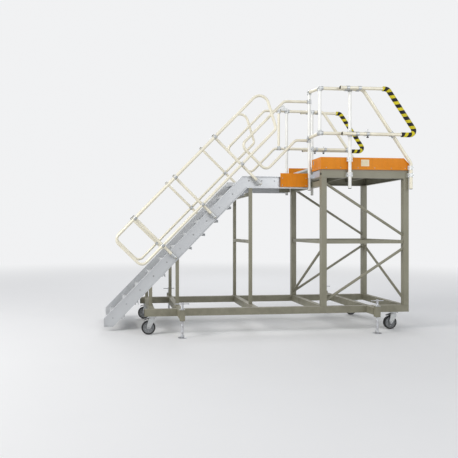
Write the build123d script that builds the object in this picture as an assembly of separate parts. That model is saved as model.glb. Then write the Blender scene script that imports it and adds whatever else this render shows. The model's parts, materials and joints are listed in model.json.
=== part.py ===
from build123d import *
import math
import os

os.makedirs("parts", exist_ok=True)

# Aircraft maintenance stand: a fixed platform on a wheeled base, with a stair at its left end
# and a sliding guardrail with a foam bumper on each side of its open right end.
# Millimetres. X runs from the stair to the aircraft, Y from the near side to the far side,
# Z up from the floor. While it is built, X = 0 and Y = 0 lie at the near left guard post.

# Platform and stair
deck_height = 2460.0
platform_length = 1415.0
platform_width = 1510.0
stair_near = 420.0
riser = 205.0
pitch_deg = 45.6
landing_length = 1050.0
toe_height = 100.0
toe_drop = 78.0
toe_thickness = 20.0
toe_clip = 90.0
end_board_gap = 12.0
end_board_seam = 0.5
deck_thickness = 30.0
deck_beam_depth = 170.0
deck_beam_width = 50.0
deck_beam_wall = 6.0
deck_edge = 28.0
deck_end_inset = 5.0
plank_gap = 2.0
deck_plank_count = 6
landing_plank_count = 5

# Guardrails
tube_radius = 24.15
guard_height = 1100.0
mid_rail_height = 444.0
post_drop = 360.0
middle_post_x = 460.0
rail_bend_x = 660.0
rail_foot_height = 20.0
rail_bend_radius = 90.0
end_rise = 50.0
socket_wall = 6.5
socket_reach = 44.0
socket_short = 34.0
seat_gap = 0.3
bracket_height = 60.0
bracket_half_width = 42.0
bracket_spread = 60.0
frame_bracket_rise = 45.0
board_bracket_rise = 65.0
corner_bracket_drop = 45.0

# Sliding guards
slide_offset = 72.0
slide_start_x = 280.0
slide_corner_x = 1007.0
slide_tip_x = 1474.0
slide_low_height = 432.0
slide_bend_radius = 85.0
slide_tip_radius = 62.0
bumper_radius = 35.0
bumper_start_x = 925.0
bumper_end_x = 1218.0
slide_low_start = 30.0
stop_ring_width = 18.0
stop_ring_height = 6.0
guide_width = 46.0
guide_clearance = 0.3
guide_web_half = 14.0
top_guides_x = (398.0, 575.0)
low_guides_x = (540.0, 700.0)

# Handrail loops of the landing and of the flight
loop_radius = 21.2
loop_bend_radius = 95.0
landing_loop_bend_x = -400.0
landing_loop_end_x = -1073.0
landing_loop_low_bend_x = -221.0
near_loop_top = 1000.0
near_loop_low = 405.0
far_loop_post_x = -143.0
eye_x = -92.0
eye_rise = 52.0
eye_radius = 46.0
eye_bore_radius = 15.0
eye_thickness = 12.0
flight_rail_height = 1070.0
flight_loop_depth = 572.0
flight_head_reach = 302.0
flight_heel_reach = 498.0
flight_foot_inset = 150.0
flight_loop_head_radius = 140.0
flight_loop_heel_radius = 70.0
flight_post_pitch = 850.0
flight_post_start = 630.0
flight_post_count = 3
flight_post_gap = 9.0
flight_post_head = 40.0
flight_post_foot = 10.0
clamp_half = 24.0
clamp_wall = 7.0
shoe_height = 84.0
shoe_width = 70.0

# Stair
stringer_width = 40.0
stringer_wall = 8.0
stringer_above = 60.0
stringer_below = 200.0
stringer_foot_height = 60.0
foot_share = 0.6
landing_edge = 50.0
landing_depth = 130.0
landing_gap = 2.0
tread_thickness = 40.0
tread_depth = 230.0
tread_wall = 5.0
tread_rib_count = 7
tread_rib_inset = 16.0
tread_rib_width = 9.0
tread_rib_height = 2.4
plank_wall = 4.0
plank_rib_width = 5.0
plank_rib_height = 2.0
plank_rib_pitch = 22.0
landing_board_length = 433.0
landing_board_thickness = 5.0
landing_board_lift = 20.0
landing_board_notch = 8.0
link_length = 102.0
link_thickness = 10.0
link_step = 6.0

# Base and tower
base_rail_width = 80.0
base_rail_depth = 100.0
base_rail_bottom = 260.0
base_rail_inset = 90.0
base_rear_x = -2560.0
wide_beam_reach = 10.0
leg_size = 80.0
tie_size = 50.0
head_tie_drop = 40.0
head_tie_depth = 80.0
brace_radius = 20.0
brace_end_gap = 60.0
brace_tie_gap = 80.0
joist_count = 3
joist_width = 40.0
joist_depth = 100.0
clevis_length = 78.0
clevis_width = 60.0
clevis_plate = 14.0
clevis_gap = 40.0
towing_bore_radius = 13.0
prop_size = 50.0
prop_tie_drop = 90.0
prop_inset = 120.0
strut_x = -2050.0
foot_beam_x = -2450.0
jack_beam_x = 780.0
tie_height = 1310.0

# Castors and jacks
wheel_radius = 100.0
wheel_width = 50.0
tyre_chamfer = 8.0
tyre_sides = 96
rim_radius = 78.0
rim_inset = 4.0
rim_dish = 6.0
hub_radius = 24.0
hub_width = 58.0
hub_shoulder = 8.0
axle_radius = 10.0
axle_clearance = 0.1
castor_trail = 50.0
fork_gap = 64.0
fork_wall = 7.0
fork_top = 239.7
fork_crown = 16.0
fork_bridge_thickness = 8.0
fork_front = 34.0
fork_rear = 46.0
fork_toe = 20.0
axle_end = 6.0
head_bottom = 240.0
head_radius = 42.0
head_plate_length = 120.0
head_plate_width = 100.0
head_plate_thickness = 8.0
castor_front_x = 1180.0
jack_reach = 290.0
jack_radius = 18.0
jack_clearance = 0.3
jack_floor_gap = 2.0
jack_pad_radius = 62.0
jack_pad_edge = 5.0
jack_pad_thickness = 14.0
jack_collar = 8.0
jack_collar_height = 22.0
jack_length = 470.0
crank_length = 190.0
crank_radius = 8.0
crank_drop = 18.0
jack_housing_size = 70.0
jack_housing_depth = 150.0

# Worked out from the dimensions above
going = riser / math.tan(math.radians(pitch_deg))
slope = riser / going
landing_height = deck_height - riser
riser_count = round(landing_height / riser)
stair_far = platform_width
stair_middle = (stair_near + stair_far) / 2
far_rail_y = platform_width - base_rail_inset
base_top = base_rail_bottom + base_rail_depth
deck_under = deck_height - deck_thickness - deck_beam_depth
beam_face = deck_edge + toe_thickness
deck_right = platform_length - deck_end_inset
socket_radius = tube_radius + socket_wall
foot_x = -landing_length - (riser_count - foot_share) * going
prop_x = prop_inset - landing_length


def nose_height(x):
    """Height of the line through the stair's nosings at a place along the stair."""
    return landing_height + (x + landing_length) * slope


def box_between(low, high):
    """A box from its lowest corner to its highest."""
    size = [b - a for a, b in zip(low, high)]
    return Pos(*low) * Box(*size, align=(Align.MIN, Align.MIN, Align.MIN))


def rod(start, end, radius):
    """A round bar from one point to another."""
    line = Vector(*end) - Vector(*start)
    plane = Plane(origin=start, z_dir=line)
    return extrude(plane * Circle(radius), line.length)


def bent_tube(points, bend_radii, radius, closed=False):
    """A round tube along straight runs joined by arcs."""
    path = FilletPolyline(*points, radius=bend_radii, close=closed)
    start = Plane(origin=path @ 0, z_dir=path % 0)
    return sweep(start * Circle(radius), path)


def plate_xz(points, y_low, y_high):
    """A plate whose outline lies in the XZ plane, from one Y to another."""
    outline = make_face(Plane.XZ * Polyline(*points, close=True))
    plate = extrude(outline, -(y_high - y_low))
    return Pos(0, y_low, 0) * plate


def arm(place, direction, bore_radius, reach):
    """A fitting's sleeve on a tube that ends in it: the bore starts before the tube's end."""
    heel = (bore_radius + socket_wall) * 0.75
    return (place, direction, -heel, reach, -bore_radius / 4, 2 * reach, bore_radius)


def sleeve(place, direction, reach_back, reach, bore_radius):
    """A fitting's sleeve on a tube that runs through it."""
    return (place, direction, -reach_back, reach, -2 * reach_back, 2 * reach, bore_radius)


def socket(*runs):
    """A cast tube fitting, the union of its sleeves less the tubes' bores."""
    outer = []
    inner = []
    for place, direction, low, high, bore_low, bore_high, bore_radius in runs:
        way = Vector(*direction).normalized()
        middle = Vector(*place)
        outer.append(rod(middle + way * low, middle + way * high, bore_radius + socket_wall))
        inner.append(rod(middle + way * bore_low, middle + way * bore_high, bore_radius))
    body = outer[0]
    for piece in outer[1:]:
        body = body + piece
    for piece in inner:
        body = body - piece
    return body


def mirror_side(y):
    """The matching place on the other side of the platform."""
    return platform_width - y


def flip(shape):
    """The same piece on the far side of the platform."""
    return Pos(0, platform_width, 0) * mirror(shape, about=Plane.XZ)


pieces = {}


def add(node, *solids):
    pieces.setdefault(node, []).extend(solids)


# Base: two long rails with cross beams, of which two carry the jacks
rail_half = base_rail_width / 2
base = None
for rail_y in (base_rail_inset, far_rail_y):
    rail = box_between((base_rear_x, rail_y - rail_half, base_rail_bottom),
                       (deck_right, rail_y + rail_half, base_top))
    base = rail if base is None else base + rail
jack_y = (-jack_reach + base_rail_inset, far_rail_y + jack_reach)
arm_y = (jack_y[0] + jack_housing_size / 2, jack_y[1] - jack_housing_size / 2)
wide_far_y = stair_far + stringer_width / 2 + wide_beam_reach
cross_beams = [
    # middle x, lowest y, highest y
    (deck_right - rail_half, base_rail_inset, far_rail_y),
    (jack_beam_x, arm_y[0], arm_y[1]),
    (beam_face + leg_size / 2, base_rail_inset, far_rail_y),
    (prop_x, base_rail_inset, wide_far_y),
    (strut_x, arm_y[0], arm_y[1]),
    (foot_beam_x, base_rail_inset, stair_far),
]
for beam_x, y_low, y_high in cross_beams:
    base += box_between((beam_x - rail_half, y_low, base_rail_bottom), (beam_x + rail_half, y_high, base_top))
add("chassis_frame", base)

# Towing clevis on the open end
clevis_x = deck_right + clevis_length - clevis_width / 2
clevis_z = (base_rail_bottom + base_top) / 2
clevis_y = platform_width / 2
clevis_ears = None
for ear_z in (clevis_z - clevis_gap / 2 - clevis_plate, clevis_z + clevis_gap / 2):
    ear = box_between((deck_right, clevis_y - clevis_width / 2, ear_z),
                      (clevis_x, clevis_y + clevis_width / 2, ear_z + clevis_plate))
    ear += Pos(clevis_x, clevis_y, ear_z) * Cylinder(
        clevis_width / 2, clevis_plate, align=(Align.CENTER, Align.CENTER, Align.MIN))
    clevis_ears = ear if clevis_ears is None else clevis_ears + ear
clevis_ears += box_between(
    (deck_right, clevis_y - clevis_width / 2, clevis_z - clevis_gap / 2),
    (deck_right + clevis_plate, clevis_y + clevis_width / 2, clevis_z + clevis_gap / 2))
clevis_ears -= Pos(clevis_x, clevis_y, clevis_z) * Cylinder(towing_bore_radius, 2 * base_rail_depth)
add("towing_clevis", clevis_ears)

# Tower: four legs, ties between them and crossing braces
leg_x = (beam_face + leg_size / 2, deck_right - leg_size / 2)
leg_y = (base_rail_inset, far_rail_y)
leg_half = leg_size / 2
for x in leg_x:
    for y in leg_y:
        add("tower_legs", box_between((x - leg_half, y - leg_half, base_top),
                                      (x + leg_half, y + leg_half, deck_under)))
tie_half = tie_size / 2
for y in leg_y:
    add("tower_ties", box_between((leg_x[0] + leg_half, y - tie_half, tie_height - tie_half),
                                  (leg_x[1] - leg_half, y + tie_half, tie_height + tie_half)))
for x in leg_x:
    add("tower_ties", box_between((x - tie_half, leg_y[0] + leg_half, tie_height - tie_half),
                                  (x + tie_half, leg_y[1] - leg_half, tie_height + tie_half)))
head_tie_top = deck_under - head_tie_drop
add("tower_ties", box_between((beam_face, leg_y[0] + leg_half, head_tie_top - head_tie_depth),
                              (beam_face + leg_size, leg_y[1] - leg_half, head_tie_top)))


def brace(start, end):
    """A round brace between two legs, cut off flat where it meets them."""
    bar = rod(start, end, brace_radius)
    for x in leg_x:
        for y in leg_y:
            bar -= box_between((x - leg_half, y - leg_half, 0), (x + leg_half, y + leg_half, deck_height))
    return bar


brace_low = base_top + brace_end_gap
brace_high = deck_under - brace_end_gap
under_tie = tie_height - brace_tie_gap
over_tie = tie_height + brace_tie_gap
for y in leg_y:
    add("tower_braces", brace((leg_x[0], y, brace_low), (leg_x[1], y, under_tie)))
    add("tower_braces", brace((leg_x[1], y, over_tie), (leg_x[0], y, brace_high)))
add("tower_braces", brace((leg_x[1], leg_y[0], brace_low), (leg_x[1], leg_y[1], under_tie)))
add("tower_braces", brace((leg_x[0], leg_y[1], brace_low), (leg_x[0], leg_y[0], under_tie)))

# Deck: a frame of channels round the edge, joists, and ribbed planks across it
beam_top = deck_height - deck_thickness
deck_low = (beam_face, beam_face)
deck_high = (deck_right, mirror_side(beam_face))
deck_frame = box_between((*deck_low, deck_under), (*deck_high, beam_top))
web = deck_beam_wall
lip = deck_beam_width
deck_frame -= box_between((deck_low[0] + web, deck_low[1] + web, deck_under + web),
                          (deck_high[0] - web, deck_high[1] - web, beam_top - web))
deck_frame -= box_between((deck_low[0] + lip, deck_low[1] + lip, deck_under - 1),
                          (deck_high[0] - lip, deck_high[1] - lip, beam_top + 1))
for index in range(joist_count):
    x = deck_low[0] + (deck_high[0] - deck_low[0]) * (index + 1) / (joist_count + 1)
    deck_frame += box_between((x - joist_width / 2, deck_low[1] + web, beam_top - joist_depth),
                              (x + joist_width / 2, deck_high[1] - web, beam_top))
add("deck_frame", deck_frame)


def ribbed_plank(width, thickness, length):
    """A plank profile with a ribbed walking face, closed sides and open channels beneath, laid along Y."""
    count = max(int(width // plank_rib_pitch), 2)
    step = width / count
    floor_height = thickness - plank_rib_height
    face = Pos(0, floor_height / 2 - thickness) * Rectangle(width, floor_height)
    rib = Rectangle(plank_rib_width, plank_rib_height)
    for index in range(count):
        face += Pos((index + 0.5) * step - width / 2, -plank_rib_height / 2) * rib
    inner = (width - 3 * plank_wall) / 2
    channel = Rectangle(inner, thickness - plank_wall)
    for side in (-1, 1):
        face -= Pos(side * (inner + plank_wall) / 2, -thickness / 2 - plank_wall) * channel
    return extrude(Plane.XZ * face, -length)


plank_span = (deck_high[0] - deck_low[0]) / deck_plank_count
for index in range(deck_plank_count):
    x = deck_low[0] + (index + 0.5) * plank_span
    plank = ribbed_plank(plank_span - plank_gap, deck_thickness, deck_high[1] - deck_low[1])
    add("deck_planks", Pos(x, deck_low[1], deck_height) * plank)

# Toe boards along both sides and beside the stair opening
toe_bottom = deck_height - toe_drop
toe_top = deck_height + toe_height
side_board = plate_xz(
    [
        (deck_edge, toe_bottom),
        (deck_right, toe_bottom),
        (deck_right, toe_top - toe_clip),
        (deck_right - toe_clip, toe_top),
        (deck_edge, toe_top),
    ],
    deck_edge, beam_face)
add("toe_boards", side_board, flip(side_board))
end_board_end = stair_near - stringer_width / 2 - end_board_gap
add("toe_boards", box_between((deck_edge, beam_face + end_board_seam, toe_bottom),
                              (beam_face, end_board_end, toe_top)))

# Guard posts. The near middle post and its far twin stand outside the toe boards.
# The near post of the stair reaches up to the end rail, which rises towards it.
post_foot = deck_height - post_drop
rail_z = deck_height + guard_height
mid_z = deck_height + mid_rail_height
under_rail = tube_radius + seat_gap
end_rail_way = Vector(0, stair_near, end_rise).normalized()
near_head_gap = under_rail / end_rail_way.Y + tube_radius * end_rail_way.Z / end_rail_way.Y
posts = [
    # x, y, foot, head
    (0.0, 0.0, mid_z, rail_z - under_rail),
    (0.0, stair_near, post_foot, rail_z + end_rise - near_head_gap),
    (0.0, stair_far, post_foot, rail_z - under_rail),
    (middle_post_x, 0.0, post_foot, rail_z - under_rail),
    (middle_post_x, platform_width, post_foot, rail_z - under_rail),
]
for x, y, foot, head in posts:
    add("guard_posts", rod((x, y, foot), (x, y, head), tube_radius))

# Fixed guardrails: the top rail slopes down to a short post at the open end
rail_foot = (platform_length, 0.0, deck_height + rail_foot_height)
guard_rail = bent_tube(
    [(0.0, 0.0, rail_z), (rail_bend_x, 0.0, rail_z), rail_foot, (platform_length, 0.0, post_foot)],
    rail_bend_radius, tube_radius)
add("guard_rails", guard_rail, flip(guard_rail))
fall = (guard_height - rail_foot_height) / (platform_length - rail_bend_x)
mid_rail_end = rail_bend_x + (guard_height - mid_rail_height) / fall
diagonal_gap = (tube_radius + seat_gap) * math.sqrt(1 + fall ** 2) / fall + tube_radius / fall
mid_runs = [
    # start x, end x, y
    (under_rail, middle_post_x - under_rail, 0.0),
    (middle_post_x + under_rail, mid_rail_end - diagonal_gap, 0.0),
    (under_rail, middle_post_x - under_rail, platform_width),
    (middle_post_x + under_rail, mid_rail_end - diagonal_gap, platform_width),
]
for start_x, end_x, y in mid_runs:
    add("guard_mid_rails", rod((start_x, y, mid_z), (end_x, y, mid_z), tube_radius))
near_top = Vector(0, stair_near, rail_z + end_rise)
add("end_guard_rails",
    rod(Vector(0, 0, rail_z) + end_rail_way * under_rail, near_top, tube_radius),
    rod((0, under_rail, mid_z), (0, stair_near - under_rail, mid_z), tube_radius))

# Fittings where the tubes meet
bore = tube_radius + seat_gap / 2
loop_bore = loop_radius + seat_gap / 2
right = (1, 0, 0)
left = (-1, 0, 0)
away = (0, 1, 0)
back = (0, -1, 0)
up = (0, 0, 1)
down = (0, 0, -1)
lower_slope = Vector(platform_length - rail_bend_x, 0, -(guard_height - rail_foot_height))
near_loop_top_z = deck_height + near_loop_top
near_loop_low_z = deck_height + near_loop_low
reach = socket_reach
short = socket_short
for z, along_end, way in ((rail_z, end_rail_way, down), (mid_z, away, up)):
    place = (0, 0, z)
    add("guard_fittings",
        socket(arm(place, right, bore, reach),
               arm(place, along_end, bore, reach),
               arm(place, way, bore, reach)))
near_mid = (0, stair_near, mid_z)
near_loop_head = (0, stair_near, near_loop_top_z)
near_loop_tail = (0, stair_near, near_loop_low_z)
far_top = (0, stair_far, rail_z)
far_mid = (0, stair_far, mid_z)
add("guard_fittings",
    socket(arm(near_top, down, bore, reach), arm(near_top, end_rail_way * -1, bore, reach)),
    socket(sleeve(near_loop_head, up, short, short, bore), arm(near_loop_head, left, loop_bore, reach)),
    socket(sleeve(near_mid, up, short + mid_z - near_loop_low_z, short, bore),
           arm(near_mid, back, bore, reach),
           arm(near_loop_tail, left, loop_bore, reach)),
    socket(sleeve(far_mid, up, reach, reach, bore), arm(far_mid, right, bore, reach),
           arm(far_mid, left, loop_bore, reach)))

# The far top fitting also carries an eye plate, and a short post stiffens the loop beside it
eye_y = stair_far - socket_radius - eye_thickness / 2
eye_turn = Pos(eye_x, eye_y, rail_z + eye_rise) * Rot(90, 0, 0)
far_corner = socket(arm(far_top, down, bore, reach),
                    arm(far_top, right, bore, reach),
                    arm(far_top, left, loop_bore, reach))
far_corner += eye_turn * Cylinder(eye_radius, eye_thickness)
far_corner += box_between((eye_x, eye_y - eye_thickness / 2, rail_z),
                          (0, eye_y + eye_thickness / 2, rail_z + eye_rise))
far_corner += box_between((-reach, eye_y, rail_z), (0, stair_far - loop_bore, rail_z + socket_wall))
far_corner -= eye_turn * Cylinder(eye_bore_radius, 2 * eye_thickness)
add("guard_fittings", far_corner)
loop_seat = loop_radius + seat_gap
add("landing_loops", rod((far_loop_post_x, stair_far, mid_z + loop_seat),
                         (far_loop_post_x, stair_far, rail_z - loop_seat), loop_radius))
for z, way in ((rail_z, down), (mid_z, up)):
    place = (far_loop_post_x, stair_far, z)
    add("guard_fittings",
        socket(sleeve(place, right, short, short, loop_bore), arm(place, way, loop_bore, reach)))
for y in (0.0, platform_width):
    middle_top = (middle_post_x, y, rail_z)
    middle_mid = (middle_post_x, y, mid_z)
    crossing = (mid_rail_end, y, mid_z)
    add("guard_fittings",
        socket(sleeve(middle_top, right, short, short, bore), arm(middle_top, down, bore, reach)),
        socket(sleeve(middle_mid, right, short, short, bore), sleeve(middle_mid, up, reach, reach, bore)),
        socket(sleeve(crossing, lower_slope, reach, reach, bore), arm(crossing, left, bore, reach)))


def post_bracket(face, spread=0.0):
    """A cast bracket round a post, with its flat back at a face that lies at a distance along Y."""
    half = bracket_height / 2
    body = Cylinder(socket_radius, bracket_height)
    body += box_between((-bracket_half_width, 0, -half), (bracket_half_width + spread, face, half))
    beyond = 2 * (bracket_half_width + spread)
    body -= box_between((-beyond, face, -half), (beyond, face + beyond, half))
    return body - Cylinder(bore, 2 * bracket_height)


beam_bracket_z = deck_under + frame_bracket_rise
bracket_places = [
    # post x, height of the bracket on the toe board
    (middle_post_x, deck_height + board_bracket_rise),
    (platform_length, deck_height - corner_bracket_drop),
]
for x, board_bracket_z in bracket_places:
    for z, face in ((board_bracket_z, deck_edge), (beam_bracket_z, beam_face)):
        bracket = Pos(x, 0, z) * post_bracket(face)
        add("post_brackets", bracket, flip(bracket))
for y, spread in ((stair_near, 0.0), (stair_far, bracket_spread)):
    add("post_brackets", Pos(0, y, beam_bracket_z) * Rot(0, 0, -90) * post_bracket(beam_face, spread))

# Sliding guards: a tube loop that runs in guides on the fixed rails, with a foam bumper at its tip
slide_y = -slide_offset
slide_low_z = deck_height + slide_low_height
slide_points = [
    (slide_start_x, slide_y, rail_z),
    (slide_corner_x, slide_y, rail_z),
    (slide_tip_x, slide_y, slide_low_z),
    (slide_start_x + slide_low_start, slide_y, slide_low_z),
]
slide_tube = bent_tube(slide_points, [slide_bend_radius, slide_tip_radius], tube_radius)
for x, z in ((slide_start_x, rail_z), (slide_start_x + slide_low_start, slide_low_z)):
    slide_tube += rod((x, slide_y, z), (x + stop_ring_width, slide_y, z), tube_radius + stop_ring_height)
bumper_points = [
    (bumper_start_x, slide_y, rail_z),
    (slide_corner_x, slide_y, rail_z),
    (slide_tip_x, slide_y, slide_low_z),
    (bumper_end_x, slide_y, slide_low_z),
]
bumper = bent_tube(bumper_points, [slide_bend_radius, slide_tip_radius], bumper_radius)
bumper -= bent_tube(slide_points, [slide_bend_radius, slide_tip_radius], tube_radius + seat_gap)
add("near_slide_tube", slide_tube)
add("near_slide_bumper", bumper)
add("far_slide_tube", flip(slide_tube))
add("far_slide_bumper", flip(bumper))


def slide_guide(x, fixed_z, moving_z):
    """A double sleeve: one ring grips the fixed rail, the other lets the sliding tube through."""
    low_x = x - guide_width / 2
    high_x = x + guide_width / 2
    rings = rod((low_x, 0, fixed_z), (high_x, 0, fixed_z), socket_radius)
    rings += rod((low_x, slide_y, moving_z), (high_x, slide_y, moving_z), socket_radius)
    rings += box_between((low_x, slide_y, min(fixed_z, moving_z) - guide_web_half),
                         (high_x, 0, max(fixed_z, moving_z) + guide_web_half))
    rings -= rod((low_x - 1, 0, fixed_z), (high_x + 1, 0, fixed_z), bore)
    rings -= rod((low_x - 1, slide_y, moving_z), (high_x + 1, slide_y, moving_z),
                 tube_radius + guide_clearance)
    return rings


guides = [slide_guide(x, rail_z, rail_z) for x in top_guides_x]
guides += [slide_guide(x, mid_z, slide_low_z) for x in low_guides_x]
for guide in guides:
    add("slide_guides", guide, flip(guide))

# Handrail loops of the landing, one on each side of the opening
loops = [
    # y, top, low
    (stair_near, near_loop_top, near_loop_low),
    (stair_far, guard_height, mid_rail_height),
]
for y, top, low in loops:
    end_z = top + (landing_loop_end_x - landing_loop_bend_x) * slope
    low_line = low - landing_loop_low_bend_x * slope
    heel_x = (end_z + landing_loop_end_x / slope - low_line) / (slope + 1 / slope)
    heel_z = low_line + heel_x * slope
    head_x = -under_rail if y == stair_near else -seat_gap
    loop = bent_tube(
        [
            (head_x, y, deck_height + top),
            (landing_loop_bend_x, y, deck_height + top),
            (landing_loop_end_x, y, deck_height + end_z),
            (heel_x, y, deck_height + heel_z),
            (landing_loop_low_bend_x, y, deck_height + low),
            (-under_rail, y, deck_height + low),
        ],
        loop_bend_radius, loop_radius)
    add("landing_loops", loop)

# Handrail loops of the flight, on posts that stand square to the slope
pitch = math.radians(pitch_deg)
along = Vector(math.cos(pitch), 0, math.sin(pitch))
square = Vector(math.sin(pitch), 0, -math.cos(pitch))
stringer_outer_y = stair_near - stringer_width / 2
stringer_inner_y = stair_near + stringer_width / 2
flight_post_y = stringer_outer_y - loop_radius - flight_post_gap
flight_loop_y = flight_post_y - 2 * loop_radius - seat_gap
flight_head_x = flight_head_reach - landing_length
flight_head = Vector(flight_head_x, 0, nose_height(flight_head_x) + flight_rail_height)
flight_heel_x = flight_heel_reach - landing_length
flight_heel_shift = flight_loop_depth / math.cos(pitch)
flight_heel_z = nose_height(flight_heel_x) + flight_rail_height - flight_heel_shift
flight_foot_x = foot_x + flight_foot_inset
flight_foot = Vector(flight_foot_x, 0, nose_height(flight_foot_x) + flight_rail_height)
foot_low = flight_foot + square * flight_loop_depth
loop_corners = [flight_head, Vector(flight_heel_x, 0, flight_heel_z), foot_low, flight_foot]
flight_loop = bent_tube(
    [(p.X, flight_loop_y, p.Z) for p in loop_corners],
    [flight_loop_head_radius, flight_loop_heel_radius, loop_bend_radius, loop_bend_radius],
    loop_radius, closed=True)


def flip_stair(shape):
    """The same piece on the far side of the stair."""
    return Pos(0, 2 * stair_middle, 0) * mirror(shape, about=Plane.XZ)


add("flight_handrails", flight_loop, flip_stair(flight_loop))
rail_anchor = Vector(-landing_length, 0, nose_height(-landing_length) + flight_rail_height)
flight_seat = (flight_rail_height + (stringer_below - stringer_above) / 2) * math.cos(pitch)
landing_middle = landing_height + (landing_edge - landing_depth) / 2
for index in range(flight_post_count):
    top = rail_anchor - along * (flight_post_start + index * flight_post_pitch)
    landing_seat = (top.Z - landing_middle) / math.cos(pitch)
    seat_length = max(flight_seat, landing_seat)
    seat = top + square * seat_length
    foot = top + square * (seat_length + shoe_height / 2 + flight_post_foot)
    head = top - square * flight_post_head
    post = rod((head.X, flight_post_y, head.Z), (foot.X, flight_post_y, foot.Z), loop_radius)
    add("flight_posts", post, flip_stair(post))
    for distance in (0.0, flight_loop_depth):
        crossing = top + square * distance
        on_rail = Vector(crossing.X, flight_loop_y, crossing.Z)
        on_post = Vector(crossing.X, flight_post_y, crossing.Z)
        rail_half = along * clamp_half
        post_half = square * clamp_half
        clamp = rod(on_rail - rail_half, on_rail + rail_half, loop_radius + clamp_wall)
        clamp += rod(on_post - post_half, on_post + post_half, loop_radius + clamp_wall)
        clamp -= rod(on_rail - rail_half * 2, on_rail + rail_half * 2, loop_bore)
        clamp -= rod(on_post - post_half * 2, on_post + post_half * 2, loop_bore)
        add("flight_clamps", clamp, flip_stair(clamp))
    shoe_plane = Plane(origin=(seat.X, flight_post_y, seat.Z), x_dir=along, z_dir=-square)
    shoe = Cylinder(loop_radius + clamp_wall, shoe_height)
    shoe += box_between((-shoe_width / 2, 0, -shoe_height / 2),
                        (shoe_width / 2, stringer_inner_y - stringer_wall - flight_post_y, shoe_height / 2))
    shoe -= Cylinder(loop_bore, 2 * shoe_height)
    located = shoe_plane.location * shoe
    add("flight_shoes", located, flip_stair(located))

# Stringers: channels with their flanges outwards, level at the landing and sloping along the flight
landing_top = landing_height + landing_edge
landing_bottom = landing_height - landing_depth
landing_right = -(socket_radius + landing_gap)
top_corner_x = -landing_length + (landing_edge - stringer_above) / slope
bottom_corner_x = -landing_length + (stringer_below - landing_depth) / slope
foot_cut_x = -landing_length + (stringer_foot_height + stringer_below - landing_height) / slope
stringer_outline = [
    (landing_right, landing_top),
    (top_corner_x, landing_top),
    (foot_x, nose_height(foot_x) + stringer_above),
    (foot_x, stringer_foot_height),
    (foot_cut_x, stringer_foot_height),
    (bottom_corner_x, landing_bottom),
    (landing_right, landing_bottom),
]
outline = make_face(Plane.XZ * Polyline(*stringer_outline, close=True))
hollow = offset(outline, -stringer_wall, kind=Kind.INTERSECTION)
stringer = Pos(0, stringer_outer_y, 0) * extrude(outline, -stringer_width)
stringer -= Pos(0, stringer_outer_y - 1, 0) * extrude(hollow, -(stringer_width - stringer_wall + 1))
add("stair_stringers", stringer, flip_stair(stringer))

# Treads and landing planks
tread_low_y = stringer_inner_y
tread_length = 2 * (stair_middle - stringer_inner_y)
tread_profile = Pos(tread_depth / 2, -tread_thickness / 2) * Rectangle(tread_depth, tread_thickness)
tread_profile -= Pos(tread_depth / 2, -tread_thickness / 2 - tread_wall) * Rectangle(
    tread_depth - 2 * tread_wall, tread_thickness)
tread_profile += Pos(tread_depth / 2, -tread_thickness * 0.35) * Rectangle(tread_wall, tread_thickness * 0.7)
rib_pitch = (tread_depth - 2 * tread_rib_inset) / (tread_rib_count - 1)
for index in range(tread_rib_count):
    rib_x = tread_rib_inset + index * rib_pitch
    tread_profile += Pos(rib_x, tread_rib_height / 2) * Rectangle(tread_rib_width, tread_rib_height)
for step in range(1, riser_count):
    tread = extrude(Plane.XZ * tread_profile, -tread_length)
    tread_place = Pos(-landing_length - step * going, tread_low_y, landing_height - step * riser)
    add("stair_treads", tread_place * tread)
landing_plank_span = (landing_length + landing_right) / landing_plank_count
for index in range(landing_plank_count):
    x = -landing_length + (index + 0.5) * landing_plank_span
    plank = ribbed_plank(landing_plank_span - plank_gap, deck_thickness, tread_length)
    add("landing_planks", Pos(x, tread_low_y, landing_height) * plank)
bridge_inset = 22.0
bridge_low = landing_right + 1
bridge = ribbed_plank(beam_face - bridge_low, deck_thickness, tread_length - 2 * bridge_inset)
add("landing_planks", Pos((beam_face + bridge_low) / 2, tread_low_y + bridge_inset, landing_height) * bridge)

# Orange boards on the landing, outside each stringer
board_left = landing_right - landing_board_length
board_bottom = landing_bottom + landing_board_lift
board_outer_y = stringer_outer_y - landing_board_thickness
board_notch_y = stringer_outer_y - landing_board_thickness * 0.6
notch = landing_board_notch
board = box_between((board_left, board_outer_y, board_bottom),
                    (landing_right, stringer_outer_y, landing_height + toe_height))
board -= box_between((board_left + notch, board_outer_y - notch, board_bottom),
                     (landing_right - notch, board_notch_y, board_bottom + 2 * notch))
add("landing_toe_boards", board, flip_stair(board))

# Props, struts and links that carry the stair
prop_half = prop_size / 2
for y in (stair_near, stair_far):
    y_low = y - stringer_width / 2
    y_high = y + stringer_width / 2
    add("stair_supports", box_between((prop_x - prop_half, y_low, base_top),
                                      (prop_x + prop_half, y_high, landing_bottom)))
    for x in (strut_x, foot_beam_x):
        strut_outline = [
            (x - prop_half, base_top),
            (x + prop_half, base_top),
            (x + prop_half, nose_height(x + prop_half) - stringer_below),
            (x - prop_half, nose_height(x - prop_half) - stringer_below),
        ]
        add("stair_supports", plate_xz(strut_outline, y_low, y_high))
tie_low_y = stringer_inner_y + seat_gap
for z in (tie_height, landing_bottom - prop_tie_drop):
    add("stair_supports", box_between((prop_x - prop_half, tie_low_y, z - prop_half),
                                      (prop_x + prop_half, 2 * stair_middle - tie_low_y, z + prop_half)))
link_step_x = landing_right - link_step
link_left = link_step_x - link_length
link_outline = [
    (link_left, stringer_inner_y),
    (link_step_x, stringer_inner_y),
    (link_step_x, stringer_inner_y + link_step),
    (beam_face, stringer_inner_y + link_step),
    (beam_face, stringer_inner_y + link_step + link_thickness),
    (link_left, stringer_inner_y + link_step + link_thickness),
]
link = extrude(make_face(Polyline(*link_outline, close=True)), head_tie_depth)
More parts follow.
